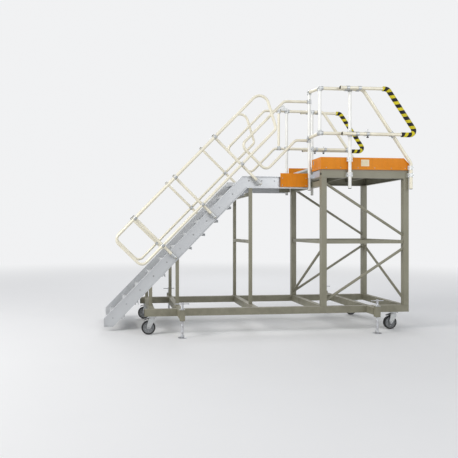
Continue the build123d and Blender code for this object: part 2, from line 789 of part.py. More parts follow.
link = Pos(0, 0, head_tie_top - head_tie_depth) * link
add("stair_supports", link, flip_stair(link))

# Castors: a head under the base, a fork that swivels and a wheel that turns
castor_places = [
    # name, x, y
    ("front_near", castor_front_x, base_rail_inset),
    ("front_far", castor_front_x, far_rail_y),
    ("rear_near", foot_beam_x, base_rail_inset),
    ("rear_far", foot_beam_x, far_rail_y),
]
plate_bottom = base_rail_bottom - head_plate_thickness
head = box_between((-head_plate_length / 2, -head_plate_width / 2, plate_bottom),
                   (head_plate_length / 2, head_plate_width / 2, base_rail_bottom))
head += Pos(0, 0, head_bottom) * Cylinder(head_radius, plate_bottom - head_bottom,
                                          align=(Align.CENTER, Align.CENTER, Align.MIN))
fork = Pos(0, 0, fork_top) * Cylinder(head_radius, fork_crown, align=(Align.CENTER, Align.CENTER, Align.MAX))
fork_outer = fork_gap / 2 + fork_wall
bridge_top = fork_top - fork_crown + fork_bridge_thickness
fork += box_between((-fork_rear, -fork_outer, fork_top - fork_crown), (fork_front, fork_outer, bridge_top))
leg_points = [
    (-castor_trail - fork_toe, wheel_radius - 0.7 * fork_toe),
    (-castor_trail + fork_toe, wheel_radius - 0.7 * fork_toe),
    (fork_front, fork_top - 2.5 * fork_crown),
    (fork_front, bridge_top),
    (-fork_rear, bridge_top),
    (-castor_trail - 1.2 * fork_toe, wheel_radius + 1.5 * fork_toe),
]
for low_y in (-fork_outer, fork_gap / 2):
    fork += plate_xz(leg_points, low_y, low_y + fork_wall)
axle = Cylinder(axle_radius, 2 * (fork_outer + axle_end))
fork += Pos(-castor_trail, 0, wheel_radius) * Rot(90, 0, 0) * axle
rim_width = wheel_width - 2 * rim_inset
hub = Rot(90, 0, 0) * (Cylinder(rim_radius, rim_width) + Cylinder(hub_radius, hub_width)
                       - Cylinder(axle_radius + axle_clearance, 2 * hub_width))
dish = Cylinder(rim_radius - 2 * rim_dish, 2 * rim_dish) - Cylinder(hub_radius + hub_shoulder, 2 * rim_dish)
for side in (-1, 1):
    hub -= Pos(0, side * rim_width / 2, 0) * Rot(90, 0, 0) * dish
tyre_half = wheel_width / 2
tyre_rings = [
    # distance from the wheel's middle, radius
    (-tyre_half, wheel_radius - tyre_chamfer),
    (tyre_chamfer - tyre_half, wheel_radius),
    (tyre_half - tyre_chamfer, wheel_radius),
    (tyre_half, wheel_radius - tyre_chamfer),
]
tyre = loft([Pos(0, 0, z) * RegularPolygon(radius, tyre_sides) for z, radius in tyre_rings], ruled=True)
tyre -= extrude(RegularPolygon(rim_radius + seat_gap, tyre_sides, major_radius=False), wheel_width, both=True)
tyre = Rot(90, 0, 0) * tyre
for name, x, y in castor_places:
    add("castor_heads", Pos(x, y, 0) * head)
    add("castor_fork_" + name, Pos(x, y, 0) * fork)
    add("castor_hub_" + name, Pos(x - castor_trail, y, wheel_radius) * hub)
    add("castor_tyre_" + name, Pos(x - castor_trail, y, wheel_radius) * tyre)

# Jacks: a screw with a foot pad in a housing at the end of each arm
housing_bottom = base_rail_bottom + (base_rail_depth - jack_housing_depth) / 2
housing_half = jack_housing_size / 2
jack_places = [
    # name, x, y
    ("front_near", jack_beam_x, jack_y[0]),
    ("front_far", jack_beam_x, jack_y[1]),
    ("rear_near", strut_x, jack_y[0]),
    ("rear_far", strut_x, jack_y[1]),
]
housing = box_between((-housing_half, -housing_half, housing_bottom),
                      (housing_half, housing_half, housing_bottom + jack_housing_depth))
housing -= Pos(0, 0, base_top) * Cylinder(jack_radius + jack_clearance, 4 * jack_housing_depth)
collar_top = jack_pad_thickness + jack_collar_height
pad_profile = make_face(Plane.XZ * Polyline(
    (0, 0),
    (jack_pad_radius, 0),
    (jack_pad_radius, jack_pad_edge),
    (jack_radius + jack_collar, jack_pad_thickness),
    (jack_radius + jack_collar, collar_top),
    (0, collar_top),
    close=True))
jack = Pos(0, 0, jack_floor_gap) * revolve(pad_profile, Axis.Z)
screw_low = jack_floor_gap + jack_pad_thickness
jack += Pos(0, 0, screw_low) * Cylinder(
    jack_radius, jack_length, align=(Align.CENTER, Align.CENTER, Align.MIN))
crank_z = screw_low + jack_length - crank_drop
jack += rod((-crank_length / 2, 0, crank_z), (crank_length / 2, 0, crank_z), crank_radius)
for name, x, y in jack_places:
    add("jack_housings", Pos(x, y, 0) * housing)
    add("jack_" + name, Pos(x, y, 0) * jack)

# The origin goes to the middle of the footprint, on the floor
boxes = [solid.bounding_box() for solids in pieces.values() for solid in solids]
bounds = boxes[0]
for box in boxes[1:]:
    bounds = bounds.add(box)
shift = Vector(-(bounds.min.X + bounds.max.X) / 2, -(bounds.min.Y + bounds.max.Y) / 2, 0)
print("size", [round(v, 1) for v in bounds.size], "lowest", round(bounds.min.Z, 3))
print("shift", round(shift.X, 3), round(shift.Y, 3))
for node, shapes in pieces.items():
    solids = [Pos(shift.X, shift.Y, 0) * solid for shape in shapes for solid in shape.solids()]
    export_step(solids[0] if len(solids) == 1 else Compound(solids), f"parts/{node}.step")
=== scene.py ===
import json
import math
import bpy
import numpy as np
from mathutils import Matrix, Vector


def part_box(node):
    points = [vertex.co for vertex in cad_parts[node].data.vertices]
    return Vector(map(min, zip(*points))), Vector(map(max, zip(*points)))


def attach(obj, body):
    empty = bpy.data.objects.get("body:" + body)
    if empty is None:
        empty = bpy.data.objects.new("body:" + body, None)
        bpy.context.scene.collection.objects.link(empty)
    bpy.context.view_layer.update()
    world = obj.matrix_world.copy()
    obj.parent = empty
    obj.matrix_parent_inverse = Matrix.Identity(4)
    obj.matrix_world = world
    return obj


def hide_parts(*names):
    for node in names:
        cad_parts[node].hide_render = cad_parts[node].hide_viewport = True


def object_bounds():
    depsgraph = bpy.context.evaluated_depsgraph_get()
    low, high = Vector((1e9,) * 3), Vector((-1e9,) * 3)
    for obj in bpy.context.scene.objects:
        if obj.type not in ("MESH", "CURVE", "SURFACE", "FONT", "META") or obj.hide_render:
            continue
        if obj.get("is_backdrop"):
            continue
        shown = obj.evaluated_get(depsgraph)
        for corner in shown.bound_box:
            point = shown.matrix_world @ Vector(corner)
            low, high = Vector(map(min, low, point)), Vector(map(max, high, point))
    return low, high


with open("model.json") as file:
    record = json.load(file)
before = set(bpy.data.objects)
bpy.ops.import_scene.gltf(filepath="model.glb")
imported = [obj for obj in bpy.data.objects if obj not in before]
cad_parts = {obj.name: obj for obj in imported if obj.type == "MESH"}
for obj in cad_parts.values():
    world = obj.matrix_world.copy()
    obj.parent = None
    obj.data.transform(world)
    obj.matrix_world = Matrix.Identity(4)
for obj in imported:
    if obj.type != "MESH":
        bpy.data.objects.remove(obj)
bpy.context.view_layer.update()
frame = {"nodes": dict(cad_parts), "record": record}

# Looks, small parts, light and camera of the maintenance stand, in metres, on the frame of its CAD part.
scene = bpy.context.scene
scene.view_settings.view_transform = "Standard"
corners = ("front_near", "front_far", "rear_near", "rear_far")
right, away, up = np.eye(3)                          # unit steps along X, Y and Z
left, back, down = -right, -away, -up

# The sizes of the tubes and of the stair, in metres and degrees, as the frame has them.
tube = {
    "radius": 0.02415, "loop": 0.0212,               # tubes of the guards and of the handrail loops
    "wall": 0.0065, "seat": 0.0003, "ring": 0.006,   # fittings' wall, play and the stop rings' height
}
stair = {
    "pitch": 45.6, "riser": 0.205, "going": 0.20075, "steps": 10, "landing": 1.050,
    "half": 0.020, "web": 0.032,                     # half a stringer's width; from its open side to its web
}
guardPost = {"middleX": 0.460}                       # from the near left guard post


def lowHigh(node):
    low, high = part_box(node)
    return np.array(low), np.array(high)


postLow, postHigh = lowHigh("guard_posts")
originX = postLow[0] + tube["radius"]                # the near left guard post; every X below counts from it
nearY = postLow[1] + tube["radius"]
farY = postHigh[1] - tube["radius"]
deckZ = lowHigh("deck_planks")[1][2]
railZ = lowHigh("guard_rails")[1][2] - tube["radius"]
midZ = lowHigh("guard_mid_rails")[0][2] + tube["radius"]
openX = lowHigh("guard_rails")[1][0] - tube["radius"]
slideLow = lowHigh("near_slide_tube")[0]
slideY = slideLow[1] + tube["radius"] + tube["ring"]
slideLowZ = slideLow[2] + tube["radius"] + tube["ring"]
deckLow, deckHigh = lowHigh("deck_frame")
baseLow, baseHigh = lowHigh("chassis_frame")
legLow, legHigh = lowHigh("tower_legs")
stringLow, stringHigh = lowHigh("stair_stringers")
stairY = stringLow[1] + stair["half"]
landingZ = deckZ - stair["riser"]
middlePost = originX + guardPost["middleX"]
sleeveRadius = tube["radius"] + tube["seat"] / 2 + tube["wall"]
loopSleeve = tube["loop"] + tube["seat"] / 2 + tube["wall"]
print("stage: frame read,", len(frame["nodes"]), "nodes")


def farSide(y, about=nearY + farY):                  # the matching place across the platform or the stair
    return about - y


def linear(red, green, blue):                        # display values 0-255 to Blender's linear colour
    part = np.array((red, green, blue)) / 255
    return (*np.where(part <= 0.04045, part / 12.92, ((part + 0.055) / 1.055) ** 2.4).tolist(), 1.0)


def ringFaces(rows, sides, caps=False, loop=False):
    # quads between rings of points, capped or joined at the ends; one index array for each kind of face
    row = np.arange(rows if loop else rows - 1)[:, None] * sides
    upper = (row + sides) % (rows * sides)
    side = np.arange(sides)[None, :]
    after = (side + 1) % sides
    faces = [np.stack([row + side, row + after, upper + after, upper + side], -1).reshape(-1, 4)]
    if caps:
        faces.append(np.concatenate([side[:, ::-1], side + (rows - 1) * sides]))
    return faces


def turned(profile, sides, lobes=0, depth=0.0, loop=False):
    # one ring for each radius and height of the profile; lobes swell it by depth * cos(lobes * angle)
    profile = np.asarray(profile, float)
    angle = np.linspace(-math.pi / 2, 1.5 * math.pi, sides, endpoint=False)
    swell = 1 + depth * np.cos(lobes * angle)
    points = np.empty((len(profile), sides, 3))
    points[..., 0] = profile[:, :1] * np.cos(angle) * swell
    points[..., 1] = profile[:, :1] * np.sin(angle) * swell
    points[..., 2] = profile[:, 1:]
    return points.reshape(-1, 3), ringFaces(len(profile), sides, caps=not loop, loop=loop)


def ringsAlong(path, ahead, radii, sides, across):
    # a circle round each point, square to the way ahead; across is the normal of the path's plane
    spoke = np.cross(across, ahead)
    angle = np.linspace(0, 2 * math.pi, sides, endpoint=False)[None, :, None]
    ring = spoke[:, None] * np.cos(angle) + np.asarray(across, float) * np.sin(angle)
    return (path[:, None] + np.asarray(radii, float)[:, None, None] * ring).reshape(-1, 3)


def unit(vector):                                    # the same direction, one long
    vector = np.array(vector, float)
    return vector / np.linalg.norm(vector)


def wayAhead(path, closed=False):                    # unit steps along a path
    ahead = np.roll(path, -1, 0) - np.roll(path, 1, 0) if closed else np.gradient(path, axis=0)
    return ahead / np.linalg.norm(ahead, axis=1, keepdims=True)


def rounded(cornerPoints, bends, step):
    # straight runs joined by arcs: each corner gives way to an arc of its bend radius, sampled every step
    points = [np.array(p, float) for p in cornerPoints]
    path = [points[0]]
    for before, corner, after, bend in zip(points, points[1:], points[2:], bends):
        toBefore, toAfter = unit(before - corner), unit(after - corner)
        turn = math.pi - math.acos(np.clip(toBefore @ toAfter, -1, 1))
        reach = bend * math.tan(turn / 2)
        centre = corner + unit(toBefore + toAfter) * bend / math.cos(turn / 2)
        start = corner + toBefore * reach - centre
        end = corner + toAfter * reach - centre
        share = np.linspace(0, 1, max(int(bend * turn / step), 3))[:, None]
        arc = (np.sin((1 - share) * turn) * start + np.sin(share * turn) * end) / math.sin(turn)
        path.extend(centre + arc)
    path = np.array([*path, points[-1]])
    length = np.concatenate([[0], np.cumsum(np.linalg.norm(np.diff(path, axis=0), axis=1))])
    even = np.linspace(0, length[-1], int(length[-1] / step) + 1)
    return np.stack([np.interp(even, length, path[:, k]) for k in range(3)], 1), even


def towards(direction, roll=up):                     # rows: axes of a frame whose Z runs along direction
    z = unit(direction)
    spare = away if abs(z[1]) < 0.9 else right
    x = roll - z * (roll @ z)
    x = unit(spare - z * (spare @ z) if np.linalg.norm(x) < 1e-6 else x)
    return np.stack([x, np.cross(z, x), z])


def placed(shape, point, direction=up, roll=right):  # a shape turned so that its Z runs along direction
    points, faces = shape
    return points @ towards(direction, roll) + np.array(point, float), faces


def together(*shapes):                               # several shapes in one mesh
    points, faces, count = [], [], 0
    for shapePoints, shapeFaces in shapes:
        points.append(shapePoints)
        faces += [block + count for block in shapeFaces]
        count += len(shapePoints)
    return np.concatenate(points), faces


def copies(shape, places):                           # one shape at many places, each a point and a direction
    return together(*[placed(shape, point, direction, up) for point, direction in places])


def slab(wide, high, thick, edge, sides=24):
    # a plate on the XY plane: four rounded rectangles, one above the other, the first and last inset by edge
    half = np.array((wide, high)) / 2
    bend = 3 * edge                                  # radius of the plate's corners
    angle = np.linspace(0, 2 * math.pi, sides, endpoint=False) + math.pi / sides
    curve = np.stack([np.cos(angle), np.sin(angle)], 1)
    rings = []
    for inset, z in ((edge, 0.0), (0, edge), (0, thick - edge), (edge, thick)):
        outline = np.sign(curve) * (half - bend) + curve * (bend - inset)
        rings.append(np.column_stack([outline, np.full(sides, z)]))
    return np.concatenate(rings), ringFaces(4, sides, caps=True)


def piece(name, shape, finish, body, slotName, smooth=40, **attributes):
    # a mesh with one finish that rides on a body; folds of more than smooth degrees stay sharp
    points, faces = shape
    mesh = bpy.data.meshes.new(name)
    mesh.from_pydata(points.tolist(), [], [face for block in faces for face in block.tolist()])
    for label, values in attributes.items():
        layer = mesh.attributes.new(label, "FLOAT", "POINT")
        layer.data.foreach_set("value", np.asarray(values, np.float32))
    mesh.shade_smooth()
    mesh.set_sharp_from_angle(angle=math.radians(smooth))
    mesh.materials.append(finish)
    made = bpy.data.objects.new(name, mesh)
    scene.collection.objects.link(made)
    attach(made, body)
    return made


def plug(tree, value, socket):                       # a wire is linked, anything else is set
    if isinstance(value, Wire):
        tree.links.new(value.socket, socket)
    else:
        socket.default_value = value


class Wire:                                          # one output socket; arithmetic on it adds Math nodes
    def __init__(self, tree, socket):
        self.tree, self.socket = tree, socket

    def math(self, operation, other=None, swap=False, clamp=False):
        node = self.tree.nodes.new("ShaderNodeMath")
        node.operation, node.use_clamp = operation, clamp
        pair = (other, self) if swap else (self, other)
        for socket, value in zip(node.inputs, pair):
            if value is not None:
                plug(self.tree, value, socket)
        return Wire(self.tree, node.outputs[0])

    def __add__(self, other):
        return self.math("ADD", other)

    def __radd__(self, other):
        return self.math("ADD", other, swap=True)

    def __sub__(self, other):
        return self.math("SUBTRACT", other)

    def __rsub__(self, other):
        return self.math("SUBTRACT", other, swap=True)

    def __mul__(self, other):
        return self.math("MULTIPLY", other)

    def __rmul__(self, other):
        return self.math("MULTIPLY", other, swap=True)

    def __truediv__(self, other):
        return self.math("DIVIDE", other)

    def __rtruediv__(self, other):
        return self.math("DIVIDE", other, swap=True)

    def clamped(self):
        return self.math("ADD", 0.0, clamp=True)


class Finish:                                        # one material and the nodes that feed its shader
    def __init__(self, name, **fixed):
        self.material = bpy.data.materials.new(name)
        self.material.use_nodes = True
        self.tree = self.material.node_tree
        self.shader = next(n for n in self.tree.nodes if n.type == "BSDF_PRINCIPLED")
        for label, value in fixed.items():
            self.shader.inputs[label.replace("_", " ")].default_value = value
        self.here = self.node("ShaderNodeTexCoord", output="Object")
        self.height = self.node("ShaderNodeSeparateXYZ", inputs={0: self.here}, output="Z")
        self.facing = self.node("ShaderNodeNewGeometry", output="Normal")
        self.upward = self.node("ShaderNodeSeparateXYZ", inputs={0: self.facing}, output="Z")

    def node(self, kind, settings=None, inputs=None, output=0):
        made = self.tree.nodes.new(kind)
        for label, value in (settings or {}).items():
            setattr(made, label, value)
        for label, value in (inputs or {}).items():
            plug(self.tree, value, made.inputs[label])
        return Wire(self.tree, made.outputs[output])

    def noise(self, scale, detail=3.0, stretch=None, rough=0.5):  # stretch is a factor for each axis
        place = self.here
        if stretch:
            place = self.node("ShaderNodeMapping", inputs={"Vector": self.here, "Scale": stretch})
        inputs = {"Vector": place, "Scale": scale, "Detail": detail, "Roughness": rough}
        return self.node("ShaderNodeTexNoise", inputs=inputs)

    def cells(self, scale, output="Distance"):
        return self.node("ShaderNodeTexVoronoi", inputs={"Vector": self.here, "Scale": scale}, output=output)

    def band(self, value, start, end, low=0.0, high=1.0):
        settings = {"interpolation_type": "SMOOTHSTEP"}
        inputs = {"Value": value, "From Min": start, "From Max": end, "To Min": low, "To Max": high}
        return self.node("ShaderNodeMapRange", settings, inputs)

    def patches(self, scale, start, end, rough=0.6, stretch=None):  # blotches where a noise passes start
        return self.band(self.noise(scale, 5.0, stretch, rough), start, end)

    def mixed(self, first, second, share):           # from the first colour to the second
        return self.node("ShaderNodeMix", {"data_type": "RGBA"}, {0: share, 6: first, 7: second}, 2)

    def edges(self, radius):                         # 1 along sharp edges, 0 elsewhere
        soft = self.node("ShaderNodeBevel", {"samples": 4}, {"Radius": radius})
        inputs = {0: soft, 1: self.facing}
        same = self.node("ShaderNodeVectorMath", {"operation": "DOT_PRODUCT"}, inputs, "Value")
        return self.band(same, 0.995, 0.88)

    def scratches(self, scale, stretch, share=0.012):  # thin lines where a drawn-out noise crosses its middle
        line = (self.noise(scale, 2.0, stretch) - 0.5).math("ABSOLUTE")
        return self.band(line, share, 0.0) * self.patches(scale * 0.35, 0.5, 0.62, 0.5)

    def finish(self, colour, roughness, metallic=None, bump=None, depth=0.001, strength=0.4):
        plug(self.tree, colour, self.shader.inputs["Base Color"])
        plug(self.tree, roughness, self.shader.inputs["Roughness"])
        if metallic is not None:
            plug(self.tree, metallic, self.shader.inputs["Metallic"])
        if bump is not None:
            inputs = {"Height": bump, "Distance": depth, "Strength": strength}
            plug(self.tree, self.node("ShaderNodeBump", inputs=inputs), self.shader.inputs["Normal"])
        return self.material


def tubeFinish(name, colour, shade, rough=0.3):
    # satin tube: faint drawn streaks, hands' polish, patchy grime with painted shade that darkens the
    # undersides towards the shade colour, and small rubbed spots
    look = Finish(name, Metallic=0.2, Specular_IOR_Level=0.5)
    streaks = look.noise(110, 1.0, (0.05, 1, 0.05))
    handled = look.patches(5.5, 0.42, 0.7, 0.5)
    # painted shade, partly grime: faces turned down darken in patches towards the shade colour
    grime_and_painted_shade = look.band(look.upward, 0.0, -0.9) * look.patches(14, 0.3, 0.75, 0.5)
    rubbed = look.patches(30, 0.62, 0.74, 0.5)
    base = look.mixed(colour, shade, grime_and_painted_shade * 0.34 + handled * 0.09)
    base = look.mixed(base, linear(246, 246, 242), rubbed * 0.4)
    roughness = (rough + streaks * 0.14 + handled * 0.1 - rubbed * 0.08).clamped()
    return look.finish(base, roughness, bump=streaks, depth=0.0003, strength=0.1)


def paintFinish(name, colour, dark, metalShow, rough=0.42):
    # powder coat: orange-peel skin, dust on top, grime near the floor, chips, scratches and rubbed edges
    look = Finish(name, Specular_IOR_Level=0.45)
    peel = look.noise(380, 2.0)
    cloudy = look.patches(3.2, 0.4, 0.72, 0.5)
    dust = look.band(look.upward, 0.55, 0.95) * look.patches(22, 0.3, 0.7, 0.5)
    low = look.band(look.height, 0.85, 0.05) * look.patches(9, 0.3, 0.72)
    rub = look.edges(0.004) * look.patches(26, 0.46, 0.62, 0.7)
    chips = look.patches(60, 0.69, 0.715, 0.72)
    bare = (rub + chips + look.scratches(18, (0.5, 0.5, 3.5)) * 0.5).clamped()
    base = look.mixed(colour, dark, cloudy * 0.13 + low * 0.5)
    base = look.mixed(base, linear(196, 190, 176), dust * 0.3)
    base = look.mixed(base, metalShow, bare * 0.7)
    roughness = (rough + cloudy * 0.1 + dust * 0.2 + low * 0.15).clamped()
    bump = peel * 0.5 - bare * 1.2
    return look.finish(base, roughness, metallic=bare * 0.6, bump=bump, depth=0.0006, strength=0.3)


def zincFinish(name, colour, rough=0.4):
    # hot-dip zinc: crystal patches of slightly different grey, a dull bloom and fine pits
    look = Finish(name, Metallic=0.75)
    grey = look.node("ShaderNodeSeparateColor", None, {0: look.cells(140, "Color")}, 0)
    bloom = look.patches(18, 0.42, 0.7)
    base = look.mixed(colour, linear(146, 149, 152), grey * 0.4)
    base = look.mixed(base, linear(222, 222, 218), bloom * 0.4)
    roughness = (rough - 0.1 + grey * 0.16 + bloom * 0.2).clamped()
    return look.finish(base, roughness, bump=look.noise(420, 3.0) + bloom * 0.4, depth=0.0006, strength=0.35)


def plankFinish(name):
    # mill-finish extrusion: die lines along the plank, shoe scuffs and trodden-in dirt
    look = Finish(name, Metallic=0.75)
    lines = look.noise(300, 3.0, (1, 0.02, 1))
    top = look.band(look.upward, 0.6, 0.95)
    tread = look.patches(11, 0.36, 0.74, 0.7, (1.3, 0.45, 1)) * top
    scuff = look.scratches(24, (2.2, 0.6, 1)) * top
    base = look.mixed(linear(204, 206, 208), linear(136, 134, 128), tread * 0.42)
    base = look.mixed(base, linear(74, 72, 68), scuff * 0.6)
    roughness = (0.3 + lines * 0.14 + tread * 0.22).clamped()
    return look.finish(base, roughness, bump=lines - scuff * 0.4, depth=0.0004, strength=0.3)


def boardFinish(name):
    # orange powder coat: even skin, boot scuffs and faint streaks down the board, chipped edges
    look = Finish(name, Specular_IOR_Level=0.22)
    cloudy = look.patches(4.5, 0.38, 0.7, 0.5)
    runs = look.patches(30, 0.5, 0.75, 0.5, (1, 1, 0.12))
    scuffs = look.scratches(16, (0.35, 0.35, 2.2), 0.02)
    chips = look.edges(0.003) * look.patches(40, 0.5, 0.62, 0.7)
    base = look.mixed(linear(225, 136, 3), linear(214, 122, 3), cloudy * 0.6)
    base = look.mixed(base, linear(150, 96, 40), runs * 0.14 + scuffs * 0.3)
    base = look.mixed(base, linear(214, 204, 186), chips * 0.8)
    roughness = (0.36 + cloudy * 0.12 + scuffs * 0.2).clamped()
    return look.finish(base, roughness, bump=look.noise(420, 2.0) * 0.5 - chips, depth=0.0005, strength=0.3)


def foamFinish(name):
    # striped foam: black and yellow bands wound slantwise round the tube, with a fine cellular skin
    look = Finish(name, Specular_IOR_Level=0.35)
    along = look.node("ShaderNodeAttribute", {"attribute_name": "along"}, output="Fac")
    around = look.node("ShaderNodeAttribute", {"attribute_name": "around"}, output="Fac")
    turn = (along / foam["stripe"] + around * foam["slant"]).math("FRACT")
    yellow = look.band(turn, 0.0, 0.03) * look.band(turn, 0.49, 0.46)
    worn = look.patches(42, 0.58, 0.74, 0.65)
    smudge = look.patches(9, 0.42, 0.74, 0.5)
    black = look.mixed(linear(20, 20, 24), linear(54, 54, 56), worn)
    bright = look.mixed(linear(216, 202, 34), linear(176, 160, 34), smudge * 0.5 + worn * 0.3)
    roughness = (0.62 + worn * 0.18 - yellow * 0.06).clamped()
    bump = look.cells(520) + worn * 0.5
    return look.finish(look.mixed(black, bright, yellow), roughness, bump=bump, depth=0.0006, strength=0.35)


def rubberFinish(name, colour, scale=160.0):
    # moulded rubber or plastic: fine grain, grey scuffs and floor dust low down
    look = Finish(name, Specular_IOR_Level=0.3)
    scuff = look.patches(scale * 0.4, 0.48, 0.7, 0.65)
    dust = look.band(look.height, 0.12, 0.0) * look.patches(36, 0.35, 0.7, 0.5)
    base = look.mixed(colour, linear(92, 90, 86), scuff * 0.35 + dust * 0.45)
    bump = look.noise(scale * 3, 3.0) + scuff * 0.5
    return look.finish(base, (0.66 + scuff * 0.16).clamped(), bump=bump, depth=0.0005, strength=0.4)


def steelFinish(name, colour, rough=0.24):
    # turned steel: fine rings of the cutting tool and a patchy film of grease
    look = Finish(name, Metallic=1.0)
    rings = look.noise(700, 2.0, (0.1, 0.1, 1))
    film = look.patches(26, 0.4, 0.72, 0.5)
    base = look.mixed(colour, linear(96, 88, 74), film * 0.4)
    roughness = (rough + rings * 0.12 + film * 0.2).clamped()
    return look.finish(base, roughness, bump=rings, depth=0.0003, strength=0.3)


def plateFinish(name, colour, aged, metallic=0.1):
    # thin sheet: fine brushing and an uneven film that dulls it
    look = Finish(name, Metallic=metallic)
    brushed = look.noise(400, 3.0, (0.05, 0.05, 1))
    film = look.patches(24, 0.35, 0.7, 0.5)
    base = look.mixed(colour, aged, film * 0.3)
    roughness = (0.36 + brushed * 0.12 + film * 0.1).clamped()
    return look.finish(base, roughness, bump=brushed, depth=0.0002, strength=0.2)


foam = {
    "radius": 0.0350, "bore": 0.0246, "skinStart": 0.0251, "lip": 0.007, "step": 0.006, "sides": 40,
    "stripe": 0.108,                                 # length of one black and yellow pair
    "slant": 0.46,                                   # how far a band runs on across the front, in pairs
    "bends": (0.085, 0.062), "cornerX": 1.007, "tipX": 1.474, "endX": 1.218,
    "tubeEndX": 0.310,                               # open end of the sliding tube's lower run
}
finishes = {
    "base_paint": paintFinish("beigePowderCoat", linear(141, 138, 120), linear(104, 99, 84),
                              linear(150, 146, 136)),
    "zinc_steel": zincFinish("zincCasting", linear(196, 198, 198)),
    "plank_aluminium": plankFinish("millAluminium"),
    "orange_board": boardFinish("orangePowderCoat"),
    # the second colour of each tube is the painted shade of its undersides
    "post_tube": tubeFinish("palePostTube", linear(238, 238, 234), linear(172, 170, 162)),
    "rail_tube": tubeFinish("ivoryRailTube", linear(238, 232, 212), linear(158, 146, 116)),
    "striped_foam": foamFinish("stripedFoam"),
    "wheel_rim": paintFinish("wheelGrey", linear(138, 140, 142), linear(80, 80, 80),
                             linear(176, 176, 174), rough=0.45),
    "wheel_tyre": rubberFinish("castorRubber", linear(38, 38, 39)),
    "jack_steel": steelFinish("jackSteel", linear(196, 198, 202)),
}
blackPlastic = rubberFinish("blackPlastic", linear(24, 24, 26), scale=220.0)
signPlate = plateFinish("blankPlate", linear(226, 214, 182), linear(196, 176, 134))
greyPlate = plateFinish("greyPlate", linear(152, 154, 158), linear(126, 126, 128))
# cover plate: its pale blue-white is painted sky light on the deck's end
skyTintedCover = plateFinish("coverWithPaintedSkyLight", linear(206, 212, 222), linear(166, 172, 182), metallic=0.6)
boltFinish = steelFinish("boltSteel", linear(186, 188, 190), rough=0.32)
paleZinc = zincFinish("paleZincBracket", linear(226, 228, 228))
slotOf = {entry["node"]: entry["material_slot"] for entry in frame["record"]["subparts"]}
for name, node in frame["nodes"].items():
    node.data.materials.clear()
    node.data.materials.append(paleZinc if name == "post_brackets" else finishes[slotOf[name]])
print("stage: finishes on the frame's nodes")

# Small fasteners that later pieces repeat; profiles are radius and height, from the seat outwards.
screwHead = turned([(0.0070, -0.002), (0.0070, 0.0045), (0.0062, 0.0056), (0.0036, 0.0056),
                    (0.0032, 0.0026)], 12)
hexHead = turned([(0.0098, -0.001), (0.0098, 0.0052), (0.0088, 0.0064), (0.0046, 0.0066)], 6)
washerTop = 0.0018
washer = turned([(0.0124, -0.001), (0.0124, 0.0012), (0.0118, washerTop), (0.0090, washerTop)], 20)
domeHead = turned([(0.0068, -0.001), (0.0068, 0.0008), (0.0058, 0.0026), (0.0036, 0.0038),
                   (0.0014, 0.0042)], 12)
setScrew = turned([(0.0092, -0.0040), (0.0092, 0.0016), (0.0082, 0.0030), (0.0056, 0.0032),
                   (0.0046, 0.0010)], 14)
flatHead = turned([(0.0046, -0.0010), (0.0046, 0.0004), (0.0040, 0.0009), (0.0018, 0.0009),
                   (0.0012, 0.0003)], 10)
bigNut = turned([(0.0172, -0.0005), (0.0172, 0.0072), (0.0158, 0.0086), (0.0104, 0.0086)], 6)
bolt = together(washer, placed(hexHead, (0, 0, washerTop)))
plugProfile = np.array([(0.0230, -0.003), (0.0252, 0.0), (0.0249, 0.0022), (0.0180, 0.0050),
                        (0.0085, 0.0062)])
postPlug = turned(plugProfile, 28)
loopPlug = turned(plugProfile * (tube["loop"] / tube["radius"], 1), 28)


def onStand(name, shape, places, finish=boltFinish, slotName="zinc_steel"):  # copies that stay with the stand
    piece(name, copies(shape, places), finish, "stand", slotName)


# Foam bumpers: the skin follows the sliding tube round the open end and has a rounded lip at each end.
foamLow, foamHigh = lowHigh("near_slide_bumper")
for body, y in (("near_slide", slideY), ("far_slide", farSide(slideY))):
    top, bottom = foamHigh[2] - foam["radius"], foamLow[2] + foam["radius"]
    route = [(foamLow[0], y, top), (originX + foam["cornerX"], y, top),
             (originX + foam["tipX"], y, bottom), (originX + foam["endX"], y, bottom)]
    path, along = rounded(route, foam["bends"], foam["step"])
    # outer radius: up a quarter circle over the lip's length at both ends, full between them
    fromEnd = np.clip(np.minimum(along, along[-1] - along) / foam["lip"], 0, 1)
    outer = foam["skinStart"] + (foam["radius"] - foam["skinStart"]) * np.sqrt(1 - (1 - fromEnd) ** 2)
    ahead = wayAhead(path)
    there = np.concatenate([path, path[::-1]])       # out along the skin, then back along the bore
    radii = np.concatenate([outer, np.full(len(path), foam["bore"])])
    skin = ringsAlong(there, np.concatenate([ahead, ahead[::-1]]), radii, foam["sides"], away)
    shape = (skin, ringFaces(len(there), foam["sides"], loop=True))
    distance = np.repeat(np.concatenate([along, along[::-1]]), foam["sides"])
    inward = np.abs(np.linspace(-1, 1, foam["sides"], endpoint=False))  # 0 outside the loop, 1 inside it
    made = piece(body + "_foam", shape, finishes["striped_foam"], body, "striped_foam", smooth=60,
                 along=distance, around=np.tile(inward, len(there)))
    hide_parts(body + "_bumper")
    ends = [((slideLow[0], y, railZ), left), ((originX + foam["tubeEndX"], y, slideLowZ), left)]
    piece(body + "_plugs", copies(postPlug, ends), blackPlastic, body, "wheel_tyre")
print("stage: bumpers")

# Castors: tyres, rim screws, axle nuts with the swivel's race, brake levers and plate bolts.
castor = {
    "wheel": 0.100, "width": 0.050, "rim": 0.0783, "shoulder": 0.010, "crown": 0.0012, "sides": 72,
    "beadWidth": 0.003, "beadRise": 0.004,
    "trail": 0.050, "forkOuter": 0.0392, "top": 0.2397, "boltX": 0.048, "boltY": 0.037, "plate": 0.008,
    "screwRing": 0.050, "screwOut": 0.015,
}
lever = {
    "back": 0.044, "below": 0.012,                   # where it starts, from the top of the swivel
    "reach": 0.066, "half": 0.023, "thick": 0.0035, "drop": 0.022, "flare": 0.28, "rows": 17, "sides": 20,
    "rib": 0.0012, "ribWave": 44.0, "ribsFrom": 0.62,
}


